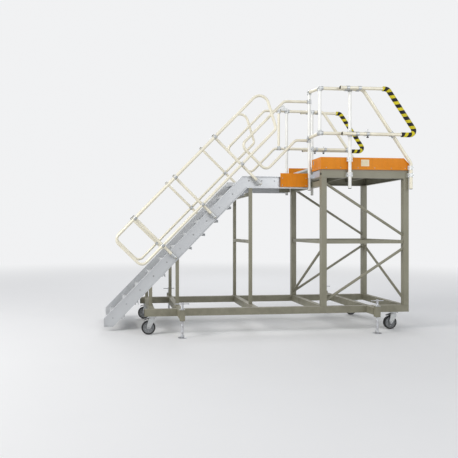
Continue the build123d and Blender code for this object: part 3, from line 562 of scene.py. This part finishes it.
def tyreProfile(count=7):
    # closed section: quarter circles at the shoulders, and a face that rises by crown * (1 - across ^ 2)
    half, bend = castor["width"] / 2, castor["shoulder"]
    out = castor["wheel"] - castor["crown"]
    turn = np.linspace(0, math.pi / 2, count)
    side = np.stack([out - bend + bend * np.sin(turn), -half + bend - bend * np.cos(turn)], 1)
    across = np.linspace(-1, 1, count)[1:-1]
    face = np.stack([out + castor["crown"] * (1 - across ** 2), across * (half - bend)], 1)
    rim, flank = castor["rim"], half - castor["beadWidth"]
    flare = rim + castor["beadRise"]
    inner = np.array([(flare, half), (rim, flank), (rim, -flank), (flare, -half)])
    return np.concatenate([side, face, side[::-1] * (1, -1), inner])


def brakeLever(pivot):
    # a pressed plate back from the fork's crown, bent down by drop * share ^ 1.8; its section is a rounded
    # rectangle (cos ^ 0.45, sin ^ 0.6), it flares by a sine of the share, and sine ribs cross its far end
    share = np.linspace(0, 1, lever["rows"])[:, None]
    angle = np.linspace(0, 2 * math.pi, lever["sides"], endpoint=False)[None, :]
    flat, thick = np.cos(angle), np.sin(angle)
    wide = lever["half"] * (1 - lever["flare"] + lever["flare"] * np.sin(share * math.pi * 0.85))
    ribs = lever["rib"] * np.clip(np.sin(share * lever["ribWave"]), 0, 1)
    lift = lever["thick"] * np.sign(thick) * np.abs(thick) ** 0.6
    points = np.empty((lever["rows"], lever["sides"], 3))
    points[..., 0] = -lever["back"] - lever["reach"] * share
    points[..., 1] = -wide * np.sign(flat) * np.abs(flat) ** 0.45
    points[..., 2] = lift - lever["below"] - lever["drop"] * share ** 1.8
    points[..., 2] += ribs * (share > lever["ribsFrom"]) * (thick > 0)
    return points.reshape(-1, 3) + pivot, ringFaces(lever["rows"], lever["sides"], caps=True)


tyreShape = turned(tyreProfile(), castor["sides"], loop=True)
raceRing = turned([(0.0405, -0.0060), (0.0436, -0.0040), (0.0442, 0.0), (0.0436, 0.0040),
                   (0.0405, 0.0060)], 48, loop=True)
castorBolts = []
for corner in corners:
    low, high = lowHigh("castor_tyre_" + corner)
    centre = (low + high) / 2
    centre[2] = castor["wheel"]
    pivot = centre + (castor["trail"], 0, castor["top"] - castor["wheel"])
    tyre = piece("tyre_" + corner, placed(tyreShape, centre, back), finishes["wheel_tyre"],
                 "wheel_" + corner, "wheel_tyre", smooth=35)
    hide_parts("castor_tyre_" + corner)
    rimScrews = []
    for way in (back, away):                         # six small screws on each side of the rim
        for turn in np.radians(np.arange(30, 390, 60)):
            spoke = castor["screwRing"] * (math.cos(turn) * right + math.sin(turn) * up)
            rimScrews.append((centre + spoke + castor["screwOut"] * way, way))
    piece("rimScrews_" + corner, copies(domeHead, rimScrews), boltFinish, "wheel_" + corner, "zinc_steel")
    nuts = copies(bigNut, [(centre + castor["forkOuter"] * way, way) for way in (back, away)])
    piece("axleNuts_" + corner, together(nuts, placed(raceRing, pivot)), boltFinish,
          "castor_" + corner, "zinc_steel")
    piece("brakeLever_" + corner, brakeLever(pivot), blackPlastic, "castor_" + corner, "wheel_tyre")
    for dx in (-castor["boltX"], castor["boltX"]):
        for dy in (-castor["boltY"], castor["boltY"]):
            castorBolts.append(((pivot[0] + dx, pivot[1] + dy, baseLow[2] - castor["plate"]), down))
onStand("castorBolts", hexHead, castorBolts)
print("stage: castors")

# Jacks: threaded screws with foot and crank bar, and a lock nut with four ears on each housing.
jack = {
    "radius": 0.0180, "gap": 0.002, "neck": 0.036, "sides": 24,
    "thread": 0.0017, "pitch": 0.008, "perTurn": 6,
    "tip": 0.004, "plainLow": 0.010, "plainHigh": 0.020, "runOut": 0.006,  # ends without a thread
    "crankDrop": 0.018, "earRing": 0.028, "earHeight": 0.0065,
}
jackFoot = turned([(0.060, 0), (0.062, 0.0015), (0.062, 0.0045), (0.059, 0.006), (0.030, 0.0125),
                   (0.026, 0.015), (0.0255, 0.032), (0.024, 0.036), (0.017, 0.0362)], 48)
jackBar = turned([(0.0056, -0.095), (0.0078, -0.093), (0.0078, -0.0855), (0.0066, -0.083),
                  (0.0066, 0.083), (0.0078, 0.0855), (0.0078, 0.093), (0.0056, 0.095)], 16)
jackTip = turned([(0.0178, -0.006), (0.0166, -0.001), (0.015, 0.0)], 24)
lockRing = turned([(0.0188, 0.0), (0.030, 0.0), (0.031, 0.002), (0.031, 0.011), (0.029, 0.013),
                   (0.0188, 0.013)], 48, loop=True)
lockEar = turned([(0.0050, 0.0), (0.0058, 0.006), (0.0062, 0.014), (0.0050, 0.0185), (0.0020, 0.020)], 12)


def jackScrew(top):
    # the radius falls by the thread's depth in a trapezoid wave of height less angle, one turn a pitch
    start, end = jack["gap"] + jack["neck"], top - jack["tip"]
    rows = int((end - start) / jack["pitch"] * jack["perTurn"])
    z = np.linspace(start, end, rows)[:, None]
    angle = np.linspace(0, 2 * math.pi, jack["sides"], endpoint=False)[None, :]
    phase = (z / jack["pitch"] - angle / (2 * math.pi)) % 1
    wave = np.clip(2.5 - 6 * np.abs(phase - 0.5), 0, 1)  # 1 on the crest, 0 in the root
    threaded = np.minimum(z - start - jack["plainLow"], top - jack["plainHigh"] - z)
    fade = np.clip(threaded / jack["runOut"], 0, 1)
    radius = jack["radius"] - jack["thread"] * (1 - wave) * fade
    points = np.stack([radius * np.cos(angle), radius * np.sin(angle), np.broadcast_to(z, radius.shape)], -1)
    return points.reshape(-1, 3), ringFaces(rows, jack["sides"], caps=True)


housingTop = lowHigh("jack_housings")[1][2]
lugs = []
for corner in corners:
    low, high = lowHigh("jack_" + corner)
    foot = np.array(((low[0] + high[0]) / 2, (low[1] + high[1]) / 2, 0.0))
    shape = together(jackScrew(high[2]), placed(jackFoot, (0, 0, jack["gap"])),
                     placed(jackTip, (0, 0, high[2])),
                     placed(jackBar, (0, 0, high[2] - jack["crankDrop"]), right))
    screw = piece("jackScrew_" + corner, placed(shape, foot), finishes["jack_steel"],
                  "jack_" + corner, "jack_steel", smooth=50)
    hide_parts("jack_" + corner)
    seat = foot + housingTop * up
    lugs.append(placed(lockRing, seat))
    for turn in np.radians((45, 135, 225, 315)):
        way = np.array((math.cos(turn), math.sin(turn), 0))
        lugs.append(placed(lockEar, seat + jack["earHeight"] * up + jack["earRing"] * way, way, up))
piece("jackLockNuts", together(*lugs), finishes["zinc_steel"], "stand", "zinc_steel")
print("stage: jacks")

# Set screws: one on each sleeve of the tube fittings.
fitting = {
    "screwAt": 0.031, "sink": 0.0004, "loopTop": 1.000, "loopLow": 0.405,
    "crossX": 1.119, "farPostX": -0.143, "endRise": 0.050,
}
nearTop = np.array((originX, stairY, railZ + fitting["endRise"]))
nearCorner = np.array((originX, nearY, railZ))
endWay = unit(nearTop - nearCorner)
farPost = originX + fitting["farPostX"]
sleeves = [
    # point of the fitting, the sleeves' directions, side that the screws face, sleeve's radius
    (nearCorner, (right, down), back, sleeveRadius),
    (nearCorner, (endWay,), left, sleeveRadius),
    ((originX, nearY, midZ), (right, up), back, sleeveRadius),
    ((originX, nearY, midZ), (away,), left, sleeveRadius),
    (nearTop, (-endWay, down), left, sleeveRadius),
    ((originX, stairY, midZ), (back,), left, sleeveRadius),
    ((originX, stairY, deckZ + fitting["loopTop"]), (left,), back, loopSleeve),
    ((originX, stairY, deckZ + fitting["loopLow"]), (left,), back, loopSleeve),
    ((originX, farY, railZ), (down, right), away, sleeveRadius),
    ((originX, farY, midZ), (down, up, right), away, sleeveRadius),
    ((originX, farY, railZ), (left,), away, loopSleeve),
    ((originX, farY, midZ), (left,), away, loopSleeve),
    ((farPost, farY, railZ), (down,), away, loopSleeve),
    ((farPost, farY, midZ), (up,), away, loopSleeve),
]
for y, face in ((nearY, back), (farY, away)):
    sleeves.append(((middlePost, y, railZ), (down,), face, sleeveRadius))
    sleeves.append(((middlePost, y, midZ), (down, up), face, sleeveRadius))
    sleeves.append(((originX + fitting["crossX"], y, midZ), (left,), face, sleeveRadius))
places = []
for point, ways, facing, radius in sleeves:
    out = (radius - fitting["sink"]) * facing
    places += [(point + fitting["screwAt"] * way + out, facing) for way in ways]

# Guides of the sliding guards: set screws on the fixed rings, star knobs below the lower sliding rings,
# and a bright stop pin on top of one of them on each side.
guide = {
    "topX": (0.398, 0.575), "lowX": (0.540, 0.700), "seat": 0.001,
    "knobSides": 40, "lobes": 5, "lobeDepth": 0.10,
}
knobProfile = [(0.006, 0.0), (0.0062, 0.010), (0.012, 0.0115), (0.0158, 0.014), (0.0162, 0.022),
               (0.0145, 0.0255), (0.006, 0.0265)]
pinProfile = [(0.0085, 0.0), (0.0085, 0.007), (0.0048, 0.008), (0.0048, 0.031), (0.0078, 0.033),
              (0.0084, 0.041), (0.0062, 0.0435)]
knobs, pins = [], []
screwRise = sleeveRadius - fitting["sink"]
knobRise = sleeveRadius - guide["seat"]
for fixedY, movingY in ((nearY, slideY), (farY, farSide(slideY))):
    places += [((originX + x, fixedY, railZ + screwRise), up) for x in guide["topX"]]
    places += [((originX + x, fixedY, midZ + screwRise), up) for x in guide["lowX"]]
    knobs += [((originX + x, movingY, slideLowZ - knobRise), down) for x in guide["lowX"]]
    pins.append(((originX + guide["lowX"][1], movingY, slideLowZ + knobRise), up))
onStand("setScrews", setScrew, places, finishes["zinc_steel"])
starKnob = turned(knobProfile, guide["knobSides"], guide["lobes"], guide["lobeDepth"])
onStand("guideKnobs", starKnob, knobs, blackPlastic, "wheel_tyre")
onStand("guidePins", turned(pinProfile, 16), pins)

# Screws of the post brackets, on the toe boards and on the deck's beams.
bracket = {"screwX": 0.0362, "boardRise": 0.065, "cornerDrop": 0.045, "beamRise": 0.045, "farReach": 0.090}
places = []
for x, boardZ in ((middlePost, deckZ + bracket["boardRise"]), (openX, deckZ - bracket["cornerDrop"])):
    for z in (boardZ, deckLow[2] + bracket["beamRise"]):
        for dx in (-bracket["screwX"], bracket["screwX"]):
            places += [((x + dx, nearY, z), back), ((x + dx, farY, z), away)]
for y, reachBack in ((stairY, bracket["screwX"]), (farY, bracket["farReach"])):
    for dy in (-reachBack, bracket["screwX"]):
        places.append(((originX, y + dy, deckLow[2] + bracket["beamRise"]), left))
onStand("bracketScrews", screwHead, places)

# Bolts through the stringers' webs: two at each end of a tread, one at each landing plank.
step = {
    "boltX": (0.050, 0.180), "boltDrop": 0.020,
    "planks": 5, "plankStart": 0.10, "plankPitch": 0.20, "plankDrop": 0.018,
}
places = []
for count in range(1, stair["steps"] + 1):
    treadX = originX - stair["landing"] - count * stair["going"]
    treadZ = landingZ - count * stair["riser"] - step["boltDrop"]
    places += [(treadX + dx, treadZ) for dx in step["boltX"]]
for count in range(step["planks"]):
    plankX = originX - stair["landing"] + step["plankStart"] + count * step["plankPitch"]
    places.append((plankX, landingZ - step["plankDrop"]))
webs = ((stringLow[1] + stair["web"], back), (stringHigh[1] - stair["web"], away))
onStand("treadBolts", bolt, [((x, y, z), face) for x, z in places for y, face in webs])

# Rivets of the toe boards, of the landing's boards and of the cover plate; small plates and beam plugs.
board = {
    "rivetX": (0.11, 0.33, 0.60, 0.86, 1.12, 1.34), "rivetY": (0.10, 0.22, 0.34), "drop": 0.052,
    "edge": 0.03, "landRows": (-0.085, 0.025),       # landing boards' rivets, from the ends and the floor
    "plateX": 0.7105, "plateZ": 0.021, "plateSize": (0.127, 0.098), "plateThick": 0.0016, "plateEdge": 0.0006,
    "endPlateY": 0.316, "endPlateZ": 0.045, "endPlateSize": (0.028, 0.064),
    "coverY": 0.262, "coverDrop": 0.135, "coverSize": (0.270, 0.098), "coverThick": 0.0020,
    "coverRivets": (0.122, 0.036),
    "plugY": 0.074, "plugDrop": 0.143,
}
boardFace = lowHigh("toe_boards")[0]                 # x of the end board's face and y of the near board's
rivets = []
rivetZ = deckZ - board["drop"]
for x in board["rivetX"]:
    rivets.append(((originX + x, boardFace[1], rivetZ), back))
    rivets.append(((originX + x, farSide(boardFace[1]), rivetZ), away))
rivets += [((boardFace[0], nearY + y, rivetZ), left) for y in board["rivetY"]]
landLow, landHigh = lowHigh("landing_toe_boards")
for x in (landLow[0] + board["edge"], landHigh[0] - board["edge"]):
    for dz in board["landRows"]:
        rivets.append(((x, landLow[1], landingZ + dz), back))
        rivets.append(((x, landHigh[1], landingZ + dz), away))
coverMid = np.array((deckLow[0], nearY + board["coverY"], deckZ - board["coverDrop"]))
apart, rise = board["coverRivets"]
for dy in (-apart, 0.0, apart):
    for dz in (-rise, rise):
        rivets.append((coverMid + dy * away + dz * up + board["coverThick"] * left, left))
onStand("boardRivets", domeHead, rivets)
namePlate = slab(*board["plateSize"], board["plateThick"], board["plateEdge"])
plateSpot = (originX + board["plateX"], boardFace[1], deckZ + board["plateZ"])
piece("blankPlate", placed(namePlate, plateSpot, back, right), signPlate, "stand", "orange_board", smooth=30)
endPlate = slab(*board["endPlateSize"], board["plateThick"], board["plateEdge"])
endSpot = (boardFace[0], nearY + board["endPlateY"], deckZ + board["endPlateZ"])
piece("endPlate", placed(endPlate, endSpot, left, back), greyPlate, "stand", "zinc_steel", smooth=30)
# the cover plate, tinted blue-white as painted sky light
cover = placed(slab(*board["coverSize"], board["coverThick"], board["plateEdge"]), coverMid, left, back)
piece("skyTintedCover", cover, skyTintedCover, "stand", "plank_aluminium", smooth=30)
# black plugs in the beam's ends, set on a dark spot which is partly painted shade
beamPlug = turned([(0.0175, -0.002), (0.0185, 0.0015), (0.0180, 0.0050), (0.0120, 0.0075),
                   (0.0040, 0.0082)], 28)
plugY = nearY + board["plugY"]
plugsOnShadeSpot = [((deckLow[0], y, deckZ - board["plugDrop"]), left) for y in (plugY, farSide(plugY))]
onStand("beamPlugsOnShadeSpot", beamPlug, plugsOnShadeSpot, blackPlastic, "wheel_tyre")
print("stage: boards, brackets and bolts")

# Deck screws: flat heads between the ribs at both ends of every plank.
plank = {
    "count": 6, "screwX": 0.0675, "edge": 0.022, "sink": 0.0020,
    "landCount": 5, "landScrewX": 0.056, "landGap": 0.002,
}
places = []
span = (deckHigh[0] - deckLow[0]) / plank["count"]
for count in range(plank["count"]):
    for dx in (-plank["screwX"], plank["screwX"]):
        for y in (deckLow[1] + plank["edge"], deckHigh[1] - plank["edge"]):
            places.append(((deckLow[0] + (count + 0.5) * span + dx, y, deckZ - plank["sink"]), up))
landSpan = (stair["landing"] - sleeveRadius - plank["landGap"]) / plank["landCount"]
for count in range(plank["landCount"]):
    for dx in (-plank["landScrewX"], plank["landScrewX"]):
        for y in (stairY + stair["half"] + plank["edge"], farY - stair["half"] - plank["edge"]):
            x = originX - stair["landing"] + (count + 0.5) * landSpan + dx
            places.append(((x, y, landingZ - plank["sink"]), up))
onStand("plankScrews", flatHead, places)

# Flight handrails: set screws on the clamps, caps on the posts, bolts of the shoes inside the web.
flight = {
    "start": 0.630, "pitch": 0.850, "posts": 3, "height": 1.070, "depth": 0.572, "head": 0.040, "foot": 0.052,
    "seat": 0.7977, "middleDrop": 0.040,             # rail to shoe; landing to its stringer's middle
    "gap": 0.009, "clampWall": 0.007, "screw": 0.013, "bolt": 0.024,
}
tilt = math.radians(stair["pitch"])
alongWay = math.cos(tilt) * right + math.sin(tilt) * up
squareWay = math.sin(tilt) * right - math.cos(tilt) * up
postY = stringLow[1] - tube["loop"] - flight["gap"]
loopY = postY - 2 * tube["loop"] - tube["seat"]
webY = stairY + stair["half"]
stairAbout = stringLow[1] + stringHigh[1]
flightSides = [
    # way out, y of the posts, of the loops and of the webs' inner faces
    (back, postY, loopY, webY),
    (away, *[farSide(y, stairAbout) for y in (postY, loopY, webY)]),
]
screwOut = tube["loop"] + flight["clampWall"] - fitting["sink"]
anchor = np.array((originX - stair["landing"], 0, landingZ + flight["height"]))
screws, caps, bolts = [], [], []
for count in range(flight["posts"]):
    top = anchor - alongWay * (flight["start"] + count * flight["pitch"])
    seat = max(flight["seat"], (top[2] - landingZ + flight["middleDrop"]) / math.cos(tilt))
    for face, *depths in flightSides:
        onPost, onLoop, onWeb = [top + y * away for y in depths]
        for distance in (0.0, flight["depth"]):
            for shift in (-flight["screw"], flight["screw"]):
                screws.append((onLoop + squareWay * distance + alongWay * shift + screwOut * face, face))
        caps.append((onPost - squareWay * flight["head"], -squareWay))
        caps.append((onPost + squareWay * (seat + flight["foot"]), squareWay))
        for shift in (-flight["bolt"], flight["bolt"]):
            bolts.append((onWeb + squareWay * seat + alongWay * shift, -face))
onStand("clampScrews", setScrew, screws, finishes["zinc_steel"])
onStand("shoeBolts", bolt, bolts)

# Plugs in the open ends of posts and of the base's tubes.
footEnds = [(middlePost, nearY), (openX, nearY), (originX, stairY)]
footEnds += [(x, farY) for x in (middlePost, openX, originX)]
ends = copies(postPlug, [((x, y, postLow[2]), down) for x, y in footEnds])
piece("tubePlugs", together(ends, copies(loopPlug, caps)), blackPlastic, "stand", "wheel_tyre")
base = {
    "inset": 0.090, "plug": (0.074, 0.094), "plugThick": 0.004, "plugEdge": 0.0016,
    "beams": (-0.930, -2.450), "beamEnds": (1.540, 1.510),  # beams that reach out under the stair
    "props": (-0.930, -2.050, -2.450), "jackBeam": 0.780,
}
railMids = (nearY + base["inset"], farY - base["inset"])
baseMid = (baseLow[2] + baseHigh[2]) / 2
endPlug = slab(*base["plug"], base["plugThick"], base["plugEdge"])
plugs = []
for y in railMids:
    plugs.append(placed(endPlug, (baseLow[0], y, baseMid), left, back))
    plugs.append(placed(endPlug, (deckHigh[0], y, baseMid), right, away))
for x, y in zip(base["beams"], base["beamEnds"]):
    plugs.append(placed(endPlug, (originX + x, nearY + y, baseMid), away, left))
piece("basePlugs", together(*plugs), blackPlastic, "stand", "wheel_tyre", smooth=30)
print("stage: flight and plugs")

# Weld beads of the tower, the stair's props and the base.
weld = {
    "radius": 0.0034, "step": 0.0046, "ripple": 0.0092, "swell": 0.16, "sides": 6,
    "corner": 0.003, "clear": 0.0005, "ovalPoints": 36, "ovalRipples": 15,
    "leg": 0.040, "tie": 0.025, "prop": 0.025, "brace": 0.020,  # half widths and the braces' radius
    "ends": 0.060, "tieZ": 1.310, "headDrop": 0.040, "tieGap": 0.080,
}


def bead(path, along, across, closed):
    # a rippled tube: radius * (1 + swell * cos(2 * pi * distance / ripple)), as the welding pool left it
    radii = weld["radius"] * (1 + weld["swell"] * np.cos(along / weld["ripple"] * 2 * math.pi))
    points = ringsAlong(path, wayAhead(path, closed), radii, weld["sides"], across)
    return points, ringFaces(len(path), weld["sides"], caps=not closed, loop=closed)


def weldRing(centre, wide, high, direction, roll=up):
    # round a square tube that ends on a flat face; wide and high are its half sizes
    outline = [(0, -wide, 0), (high, -wide, 0), (high, wide, 0),
               (-high, wide, 0), (-high, -wide, 0), (0, -wide, 0)]
    path, along = rounded(outline, (weld["corner"],) * 4, weld["step"])
    return placed(bead(path[:-1], along[:-1], up, True), centre, direction, roll)


def weldLine(start, end):                            # a straight bead
    path, along = rounded((start, end), (), weld["step"])
    return bead(path, along, towards(path[-1] - path[0])[0], False)


def weldOval(point, direction, normal):
    # round a slanting bar on a flat face: circle points slid along the bar until they lie on the face
    bar = towards(direction, normal)
    share = np.linspace(0, 1, weld["ovalPoints"], endpoint=False)
    angle = 2 * math.pi * share[:, None]
    circle = weld["brace"] * (np.cos(angle) * bar[0] + np.sin(angle) * bar[1])
    path = circle - bar[2] * ((circle @ normal) / (bar[2] @ normal))[:, None]
    along = share * weld["ovalRipples"] * weld["ripple"]
    across = normal * np.sign(bar[2] @ normal)
    return placed(bead(path, along, across, True), point)


legHalf, tieHalf = weld["leg"], weld["tie"]
legXs = (legLow[0] + legHalf, legHigh[0] - legHalf)
legYs = (legLow[1] + legHalf, legHigh[1] - legHalf)
headZ = legHigh[2] - weld["headDrop"] - legHalf
beads = []
for x in legXs:
    for y in legYs:
        beads += [weldRing((x, y, z), legHalf, legHalf, up, right) for z in (legLow[2], legHigh[2])]
for y in legYs:                                      # ties and braces of the two long sides
    ends = ((legXs[0] + legHalf, right), (legXs[1] - legHalf, left))
    beads += [weldRing((x, y, weld["tieZ"]), tieHalf, tieHalf, way) for x, way in ends]
    lowEnd, highEnd = legLow[2] + weld["ends"], weld["tieZ"] - weld["tieGap"]
    upperLow, upperHigh = weld["tieZ"] + weld["tieGap"], legHigh[2] - weld["ends"]
    for z0, z1 in ((lowEnd, highEnd), (upperHigh, upperLow)):
        slope = (z1 - z0) / (legXs[1] - legXs[0])
        way = right + slope * up
        beads.append(weldOval((legXs[0] + legHalf, y, z0 + slope * legHalf), way, right))
        beads.append(weldOval((legXs[1] - legHalf, y, z1 - slope * legHalf), way, right))
for x, order in ((legXs[1], 1), (legXs[0], -1)):     # ties and braces of the two ends
    ends = ((legYs[0] + legHalf, away), (legYs[1] - legHalf, back))
    beads += [weldRing((x, y, weld["tieZ"]), tieHalf, tieHalf, way) for y, way in ends]
    slope = order * (highEnd - lowEnd) / (legYs[1] - legYs[0])
    z0, z1 = (lowEnd, highEnd) if order > 0 else (highEnd, lowEnd)
    way = away + slope * up
    beads.append(weldOval((x, legYs[0] + legHalf, z0 + slope * legHalf), way, away))
    beads.append(weldOval((x, legYs[1] - legHalf, z1 - slope * legHalf), way, away))
headEnds = ((legYs[0] + legHalf, away), (legYs[1] - legHalf, back))
beads += [weldRing((legXs[0], y, headZ), legHalf, legHalf, way) for y, way in headEnds]
for x in base["props"]:                              # feet of the stair's props, on the cross beams
    for y in (stairY, farY):
        beads.append(weldRing((originX + x, y, baseHigh[2]), stair["half"], weld["prop"], up, right))
beamXs = [deckHigh[0] - legHalf, originX + base["jackBeam"], legXs[0]]
beamXs += [originX + x for x in base["props"]]
low, high = baseLow[2] + weld["corner"], baseHigh[2] - weld["corner"]
for x in beamXs:
    for y, inward in zip(railMids, (1, -1)):         # cross beams against the inner faces of the long rails
        face = y + inward * (legHalf + weld["clear"])
        beads.append(weldLine((x - legHalf, face, baseHigh[2]), (x + legHalf, face, baseHigh[2])))
        beads += [weldLine((x + dx, face, low), (x + dx, face, high)) for dx in (-legHalf, legHalf)]
piece("weldBeads", together(*beads), finishes["base_paint"], "stand", "base_paint", smooth=60)
print("stage: welds")

# Floor, room and lights.
stage = {
    "half": 40.0, "floor": (0.87, 0.873, 0.878, 1), "patch": (0.90, 0.90, 0.903, 1),
    "fade": (2.0, 17.0),                             # where the floor turns into the backdrop
    "shown": (0.88, 0.885, 0.895, 1), "room": (0.94, 0.96, 1.0, 1), "ambient": 0.46,
    "aim": (0.0, 0.0, 1.8),                          # where the lights point
}
floorMesh = bpy.data.meshes.new("floor")
half = stage["half"]
floorCorners = [(-half, -half, 0), (half, -half, 0), (half, half, 0), (-half, half, 0)]
floorMesh.from_pydata(floorCorners, [], [(0, 1, 2, 3)])
floor = bpy.data.objects.new("floor", floorMesh)
scene.collection.objects.link(floor)
look = Finish("paleFloor", Specular_IOR_Level=0.2)
mottled = look.noise(1.2, 3.0)
look.finish(look.mixed(stage["floor"], stage["patch"], mottled), 0.6 + mottled * 0.1)
distance = look.node("ShaderNodeVectorMath", {"operation": "LENGTH"}, {0: look.here}, "Value")
glow = look.node("ShaderNodeEmission", None, {"Color": stage["shown"], "Strength": 1.0})
ground = Wire(look.tree, look.shader.outputs[0])
faded = look.node("ShaderNodeMixShader", None, {0: look.band(distance, *stage["fade"]), 1: ground, 2: glow})
output = next(n for n in look.tree.nodes if n.type == "OUTPUT_MATERIAL")
plug(look.tree, faded, output.inputs["Surface"])
floorMesh.materials.append(look.material)
floor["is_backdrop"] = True

world = bpy.data.worlds.new("softRoom")
world.use_nodes = True
scene.world = world
tree = world.node_tree
room = next(n for n in tree.nodes if n.type == "BACKGROUND")
room.inputs["Color"].default_value = stage["room"]
room.inputs["Strength"].default_value = stage["ambient"]
shown = tree.nodes.new("ShaderNodeBackground")
shown.inputs["Color"].default_value = stage["shown"]
rays = tree.nodes.new("ShaderNodeLightPath")
seen = Wire(tree, rays.outputs["Is Camera Ray"])
for kind in ("Is Glossy Ray", "Is Transmission Ray"):
    seen = seen.math("MAXIMUM", Wire(tree, rays.outputs[kind]))
either = tree.nodes.new("ShaderNodeMixShader")
for socket, value in zip(either.inputs, (seen, Wire(tree, room.outputs[0]), Wire(tree, shown.outputs[0]))):
    plug(tree, value, socket)
worldOut = next(n for n in tree.nodes if n.type == "OUTPUT_WORLD")
tree.links.new(either.outputs[0], worldOut.inputs["Surface"])

lights = [
    # name, place, size, power, colour
    ("keyLight", (-9.2, -4.0, 6.6), 4.5, 580, (1.0, 0.985, 0.96)),
    ("fillLight", (5.5, -8.0, 5.0), 5.0, 190, (0.96, 0.98, 1.0)),
    ("rimLight", (1.5, 8.0, 7.0), 5.0, 230, (0.97, 0.98, 1.0)),
]
for name, place, size, power, colour in lights:
    lamp = bpy.data.lights.new(name, "AREA")
    lamp.size, lamp.energy, lamp.color = size, power, colour
    holder = bpy.data.objects.new(name, lamp)
    holder.location = place
    aim = unit(np.array(stage["aim"]) - place)
    holder.rotation_euler = (math.acos(-aim[2]), 0, math.atan2(aim[1], aim[0]) - math.pi / 2)
    scene.collection.objects.link(holder)

# Camera: level, where the photograph was taken from.
view = {
    "distance": 7.34,                                # from the near guard's plane
    "sideways": -2.927,                              # from the near left guard post
    "below": 0.9585,                                 # the lens is this far under the deck
    "lens": 41.0,
    "turn": 6.6,                                     # degrees to the right; the shift does the rest
    "shift": 0.11,
}
cameraData = bpy.data.cameras.new("camera")
cameraData.lens, cameraData.shift_x = view["lens"], view["shift"]
camera = bpy.data.objects.new("camera", cameraData)
camera.location = (originX + view["sideways"], nearY - view["distance"], deckZ - view["below"])
camera.rotation_euler = (math.radians(90), 0, math.radians(-view["turn"]))
scene.collection.objects.link(camera)
scene.camera = camera
print("stage: camera at", [round(v, 2) for v in camera.location])

low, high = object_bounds()
